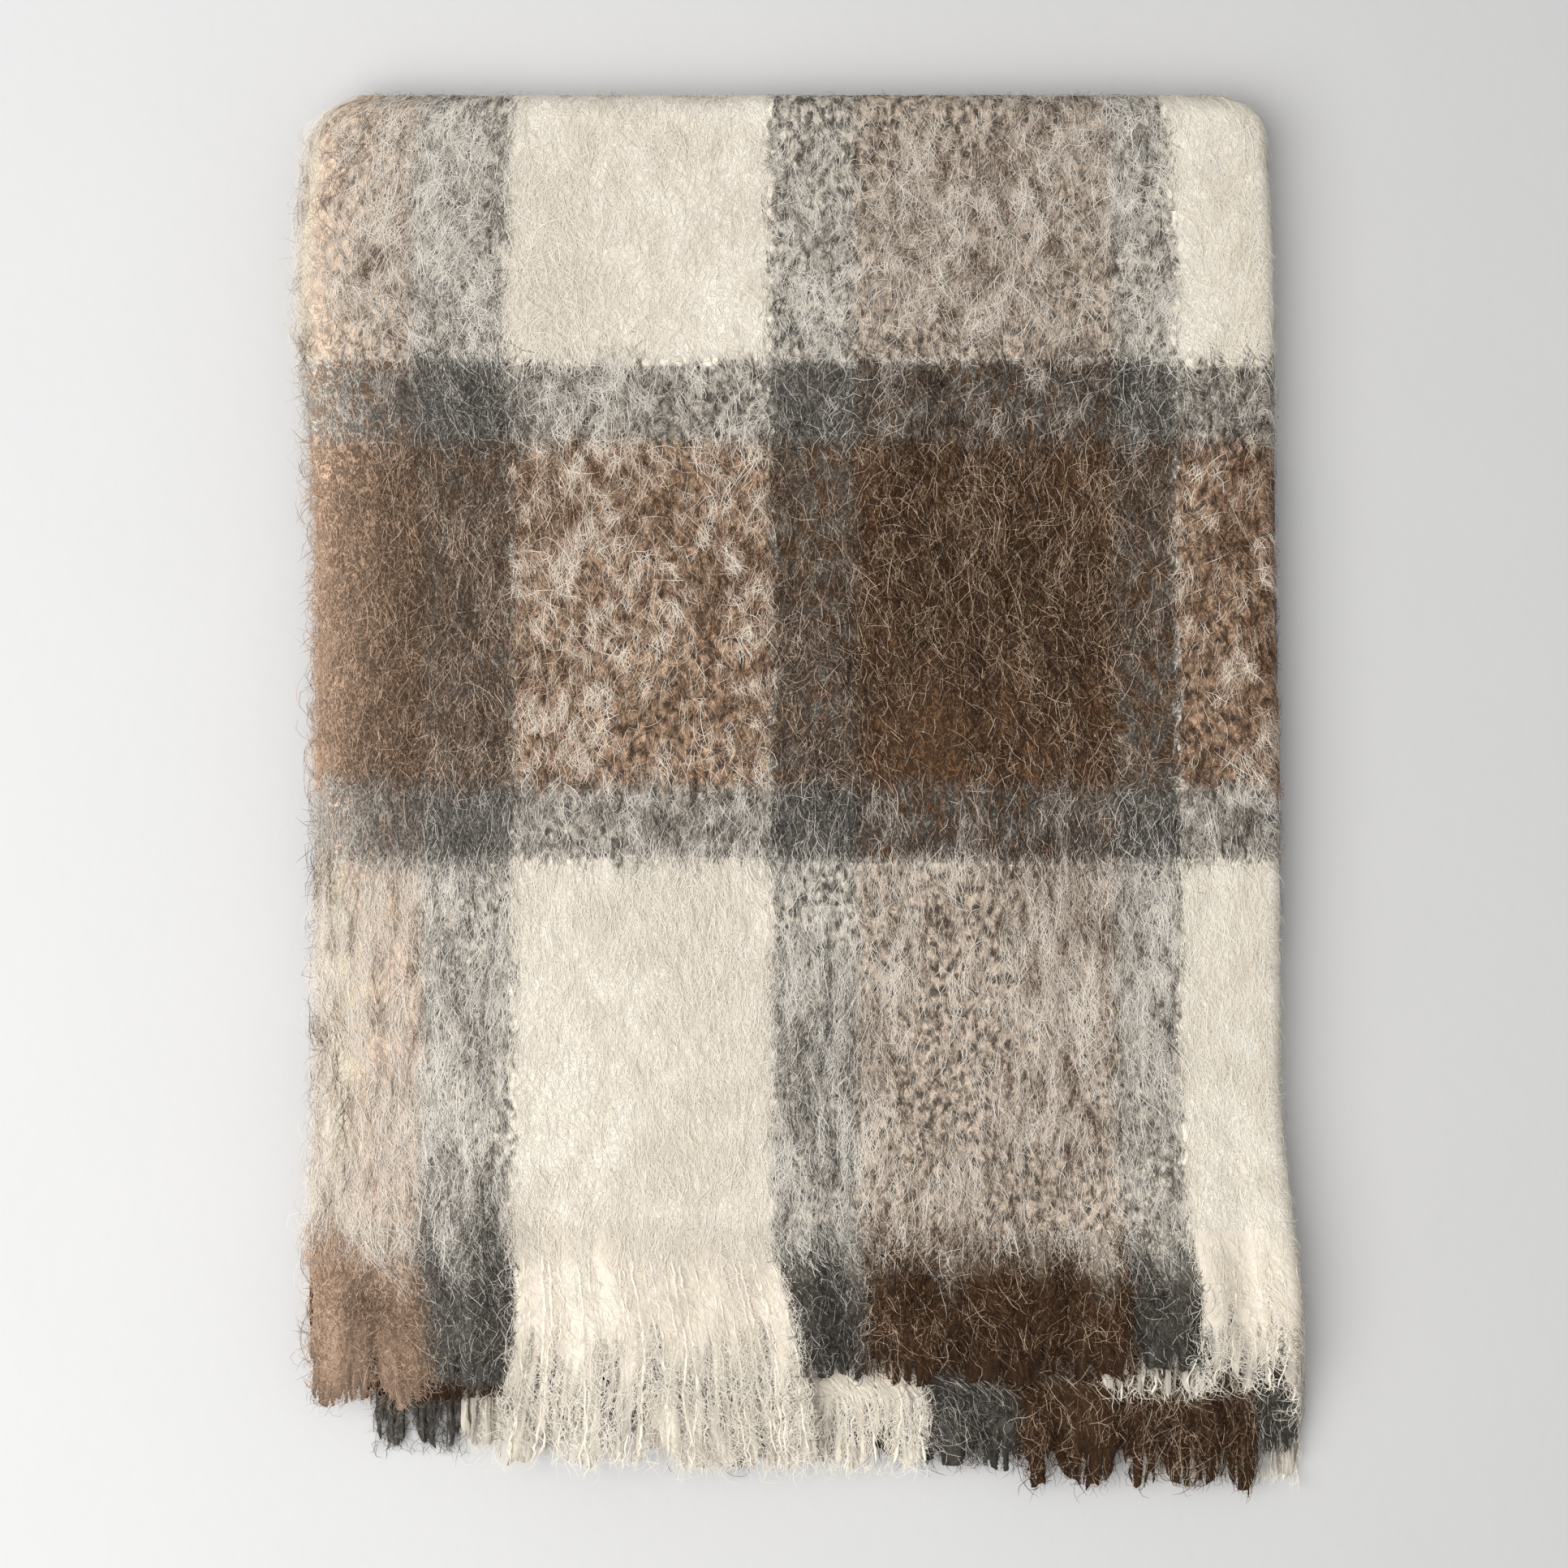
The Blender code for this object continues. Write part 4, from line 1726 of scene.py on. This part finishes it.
BOTTOM_BUNCHES = (
    Bunch(0.45, lean=0.020),
    replace(LOOSE, length=0.88, lean=0.026, lobes=(0.8, 1.2), notch=0.4),
    replace(LOOSE, length=0.90, lean=0.020, lobes=(1, 1.5, 1, 1.2, 0.8)),
    Bunch(0.96, lean=0.020, lobes=(1, 1.3), notch=0.20),
    Bunch(0.90, lean=0.020, lobes=(1, 1.4, 0.8, 1.1), notch=0.14),
    Bunch(0.80, lean=0.020),
    replace(LOOSE, length=1.04, lean=0.020, lobes=(1, 0.6, 1.2, 0.8), notch=0.4),
)
LEAF_FRINGES = (
    LeafFringe("upper_outer", UPPER, True, True, TOP_BUNCHES),
    LeafFringe("upper_inner", UPPER, False, True, UNDER_BUNCHES, 0.5),
    LeafFringe("lower_inner", LOWER, False, False, MIDDLE_BUNCHES, 1.0),
    LeafFringe("lower_outer", LOWER, True, False, BOTTOM_BUNCHES, 0.75),
)


@dataclass
class PileMaker:
    """The pile of each leaf and fold, in pieces that ride with what they grow on."""

    cloth: FoldedCloth
    pile: Pile
    finish: bpy.types.Material

    def piece(self, name: str, body: str, surface: Surface) -> bpy.types.Object:
        """Write one piece of pile and put it on its body.

        Args:
            name: The piece's name.
            body: The body that it rides on.
            surface: Its hairs.

        Returns:
            The new piece.
        """
        made = surface.write(name, self.finish)
        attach(made, body)
        return made

    def top_leaf(self) -> list[bpy.types.Object]:
        """The face that shows, in bands from the fringe up, with the side fold's own hairs.

        Returns:
            One piece a band.
        """
        c = self.cloth
        upper = float(c.upper_length(np.zeros(1))[0])
        edges = np.linspace(-0.018, upper - 0.003, 6)
        pieces = []
        for number, (low, high) in enumerate(zip(edges[:-1], edges[1:], strict=True), start=1):
            whole = self.pile.patch((0, low), (c.leaf_width, high), FELT.fewer(6000), 60 + number)
            kind = COMBED if number < 3 else LONG
            band = self.pile.patch((0, low), (c.leaf_width, high), kind.fewer(14600), 70 + number)
            side_low, side_high = (c.leaf_width, low), (c.leaf_width + c.bend, high)
            side = self.pile.patch(side_low, side_high, EDGE.fewer(700), 80 + number)
            edge_low, edge_high = (SELVEDGE_STRIP[0], low), (SELVEDGE_STRIP[1], high)
            selvedge = self.pile.patch(edge_low, edge_high, EDGE.fewer(350), 90 + number)
            whole = whole.joined(band).joined(side).joined(selvedge)
            pieces.append(self.piece(f"top_leaf_pile_{number}", UPPER, whole))
        return pieces

    def inner_faces(self) -> list[bpy.types.Object]:
        """The two faces that lie on each other and show when the top fold opens: low, flat pile.

        Returns:
            One piece a face.
        """
        c = self.cloth
        low_s, high_s = c.leaf_width + c.bend, c.width
        upper = float(c.upper_length(np.array([c.width]))[0])
        lower = upper + float(np.pi * c.ply_radius(np.array([c.width]))[0])
        flat = FLAT.fewer(9500)
        over = self.pile.patch((low_s, 0.0), (high_s, upper - 0.012), flat, 101)
        under = self.pile.patch((low_s, lower + 0.012), (high_s, c.length), flat, 102)
        return [
            self.piece("upper_inner_leaf_pile", UPPER, over),
            self.piece("lower_inner_leaf_pile", LOWER, under),
        ]

    def lower_edges(self) -> bpy.types.Object:
        """The lower half's side fold and both its selvedges.

        Returns:
            The new piece.
        """
        c = self.cloth
        lower = c.length / 2 - c.fold_offset + 0.03
        side = (c.leaf_width, lower), (c.leaf_width + c.bend, c.length)
        past, wide = SELVEDGE_STRIP
        outer = (past, lower), (wide, c.length)
        inner = (c.width - wide, lower), (c.width - past, c.length)
        whole = self.pile.patch(*side, EDGE.fewer(2800), 111)
        whole = whole.joined(self.pile.patch(*outer, EDGE.fewer(1500), 112))
        whole = whole.joined(self.pile.patch(*inner, FLAT.fewer(1500), 113))
        return self.piece("lower_edge_pile", LOWER, whole)

    def top_fold(self) -> bpy.types.Object:
        """Hairs round the outer top fold.

        Returns:
            The new piece.
        """
        c = self.cloth
        upper = float(c.upper_length(np.zeros(1))[0])
        around = float(np.pi * c.ply_radius(np.zeros(1))[0])
        low, high = (0.0, upper - 0.004), (c.leaf_width + c.bend * 0.6, upper + around + 0.004)
        whole = self.pile.patch(low, high, EDGE.fewer(4200), 121)
        whole = whole.joined(self.pile.patch(low, high, FELT.fewer(4500), 122))
        made = whole.write("top_fold_pile", self.finish)
        bend_with_fold(made)
        return made


@dataclass(frozen=True)
class Studio:
    """A pale floor, soft light from the left, and the camera straight above."""

    view_width: float = 1.0336
    distance: float = 2.4
    camera_x: float = -0.0088
    camera_y: float = 0.0096
    top: float = 0.0429

    def floor(self) -> None:
        """A broad flat floor whose top is just below the throw's underside."""
        half, top = 4.0, -0.0002
        corners = [(-half, -half, top), (half, -half, top), (half, half, top), (-half, half, top)]
        mesh = bpy.data.meshes.new("floor")
        mesh.from_pydata(corners, [], [(0, 1, 2, 3)])
        mesh.materials.append(FloorFinish().material())
        floor = bpy.data.objects.new("floor", mesh)
        bpy.context.scene.collection.objects.link(floor)

    def lamp(self, name: str, place: Colour, size: float, watts: float) -> None:
        """A square soft lamp aimed at the throw.

        Args:
            name: The lamp's name.
            place: Where it hangs.
            size: Length of its side, in metres.
            watts: Its power.
        """
        data = bpy.data.lights.new(name, "AREA")
        data.size, data.energy = size, watts
        lamp = bpy.data.objects.new(name, data)
        lamp.location = place
        aim = math.atan2(math.hypot(place[0], place[1]), place[2])
        lamp.rotation_euler = (aim, 0.0, math.atan2(place[1], place[0]) + math.pi / 2)
        bpy.context.scene.collection.objects.link(lamp)

    def light(self) -> None:
        """A large key lamp from the left and a pale sky."""
        self.lamp("key_lamp", (-1.7, -0.6, 2.7), 3.4, 118.0)
        world = bpy.data.worlds.new("pale_sky")
        world.use_nodes = True
        sky = world.node_tree.nodes["Background"]
        sky.inputs["Color"].default_value = (0.96, 0.98, 1.0, 1.0)
        sky.inputs["Strength"].default_value = 0.58
        bpy.context.scene.world = world
        bpy.context.scene.view_settings.view_transform = "Standard"

    def camera(self) -> None:
        """The camera, looking straight down."""
        data = bpy.data.cameras.new("camera")
        data.lens = data.sensor_width * self.distance / self.view_width
        camera = bpy.data.objects.new("camera", data)
        camera.location = (self.camera_x, self.camera_y, self.top + self.distance)
        bpy.context.scene.collection.objects.link(camera)
        bpy.context.scene.camera = camera

    def build(self) -> None:
        """Floor, lamps and camera."""
        self.floor()
        self.light()
        self.camera()


def main() -> None:
    """Build the throw and its studio in order."""
    logging.basicConfig(level=logging.INFO, format="%(name)s: %(message)s")
    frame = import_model()
    cloth = FoldedCloth.from_frame(frame)
    plaid = Plaid(cloth.width, cloth.length)
    log.info("cloth %.3f by %.3f m", cloth.width, cloth.length)
    Studio().build()

    woven = WovenThrow(cloth, PlaidFinish(plaid))
    sheet = woven.build()
    log.info("woven throw: %d faces", len(sheet.data.polygons))

    tint = Tint(plaid, cloth)
    pile = Pile(cloth, tint, woven.thickness / 2)
    hair = HairFinish().material("wool_hair")
    maker = PileMaker(cloth, pile, hair)
    piles = [*maker.top_leaf(), *maker.inner_faces(), maker.lower_edges(), maker.top_fold()]
    for piece in piles:
        log.info("%s: %d faces", piece.name, len(piece.data.polygons))

    root_low, root_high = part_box("upper_outer_fringe_1_brown")
    fringes = FringeMaker(
        cloth, plaid, tint, pile, HairFinish(0.05, 0.8).material("wool_yarn"), root_high[1] - root_low[1]
    )
    made = [piece for leaf in LEAF_FRINGES for piece in fringes.build(leaf)]
    for piece in made:
        log.info("%s: %d faces", piece.name, len(piece.data.polygons))


if __name__ == "__main__":
    main()
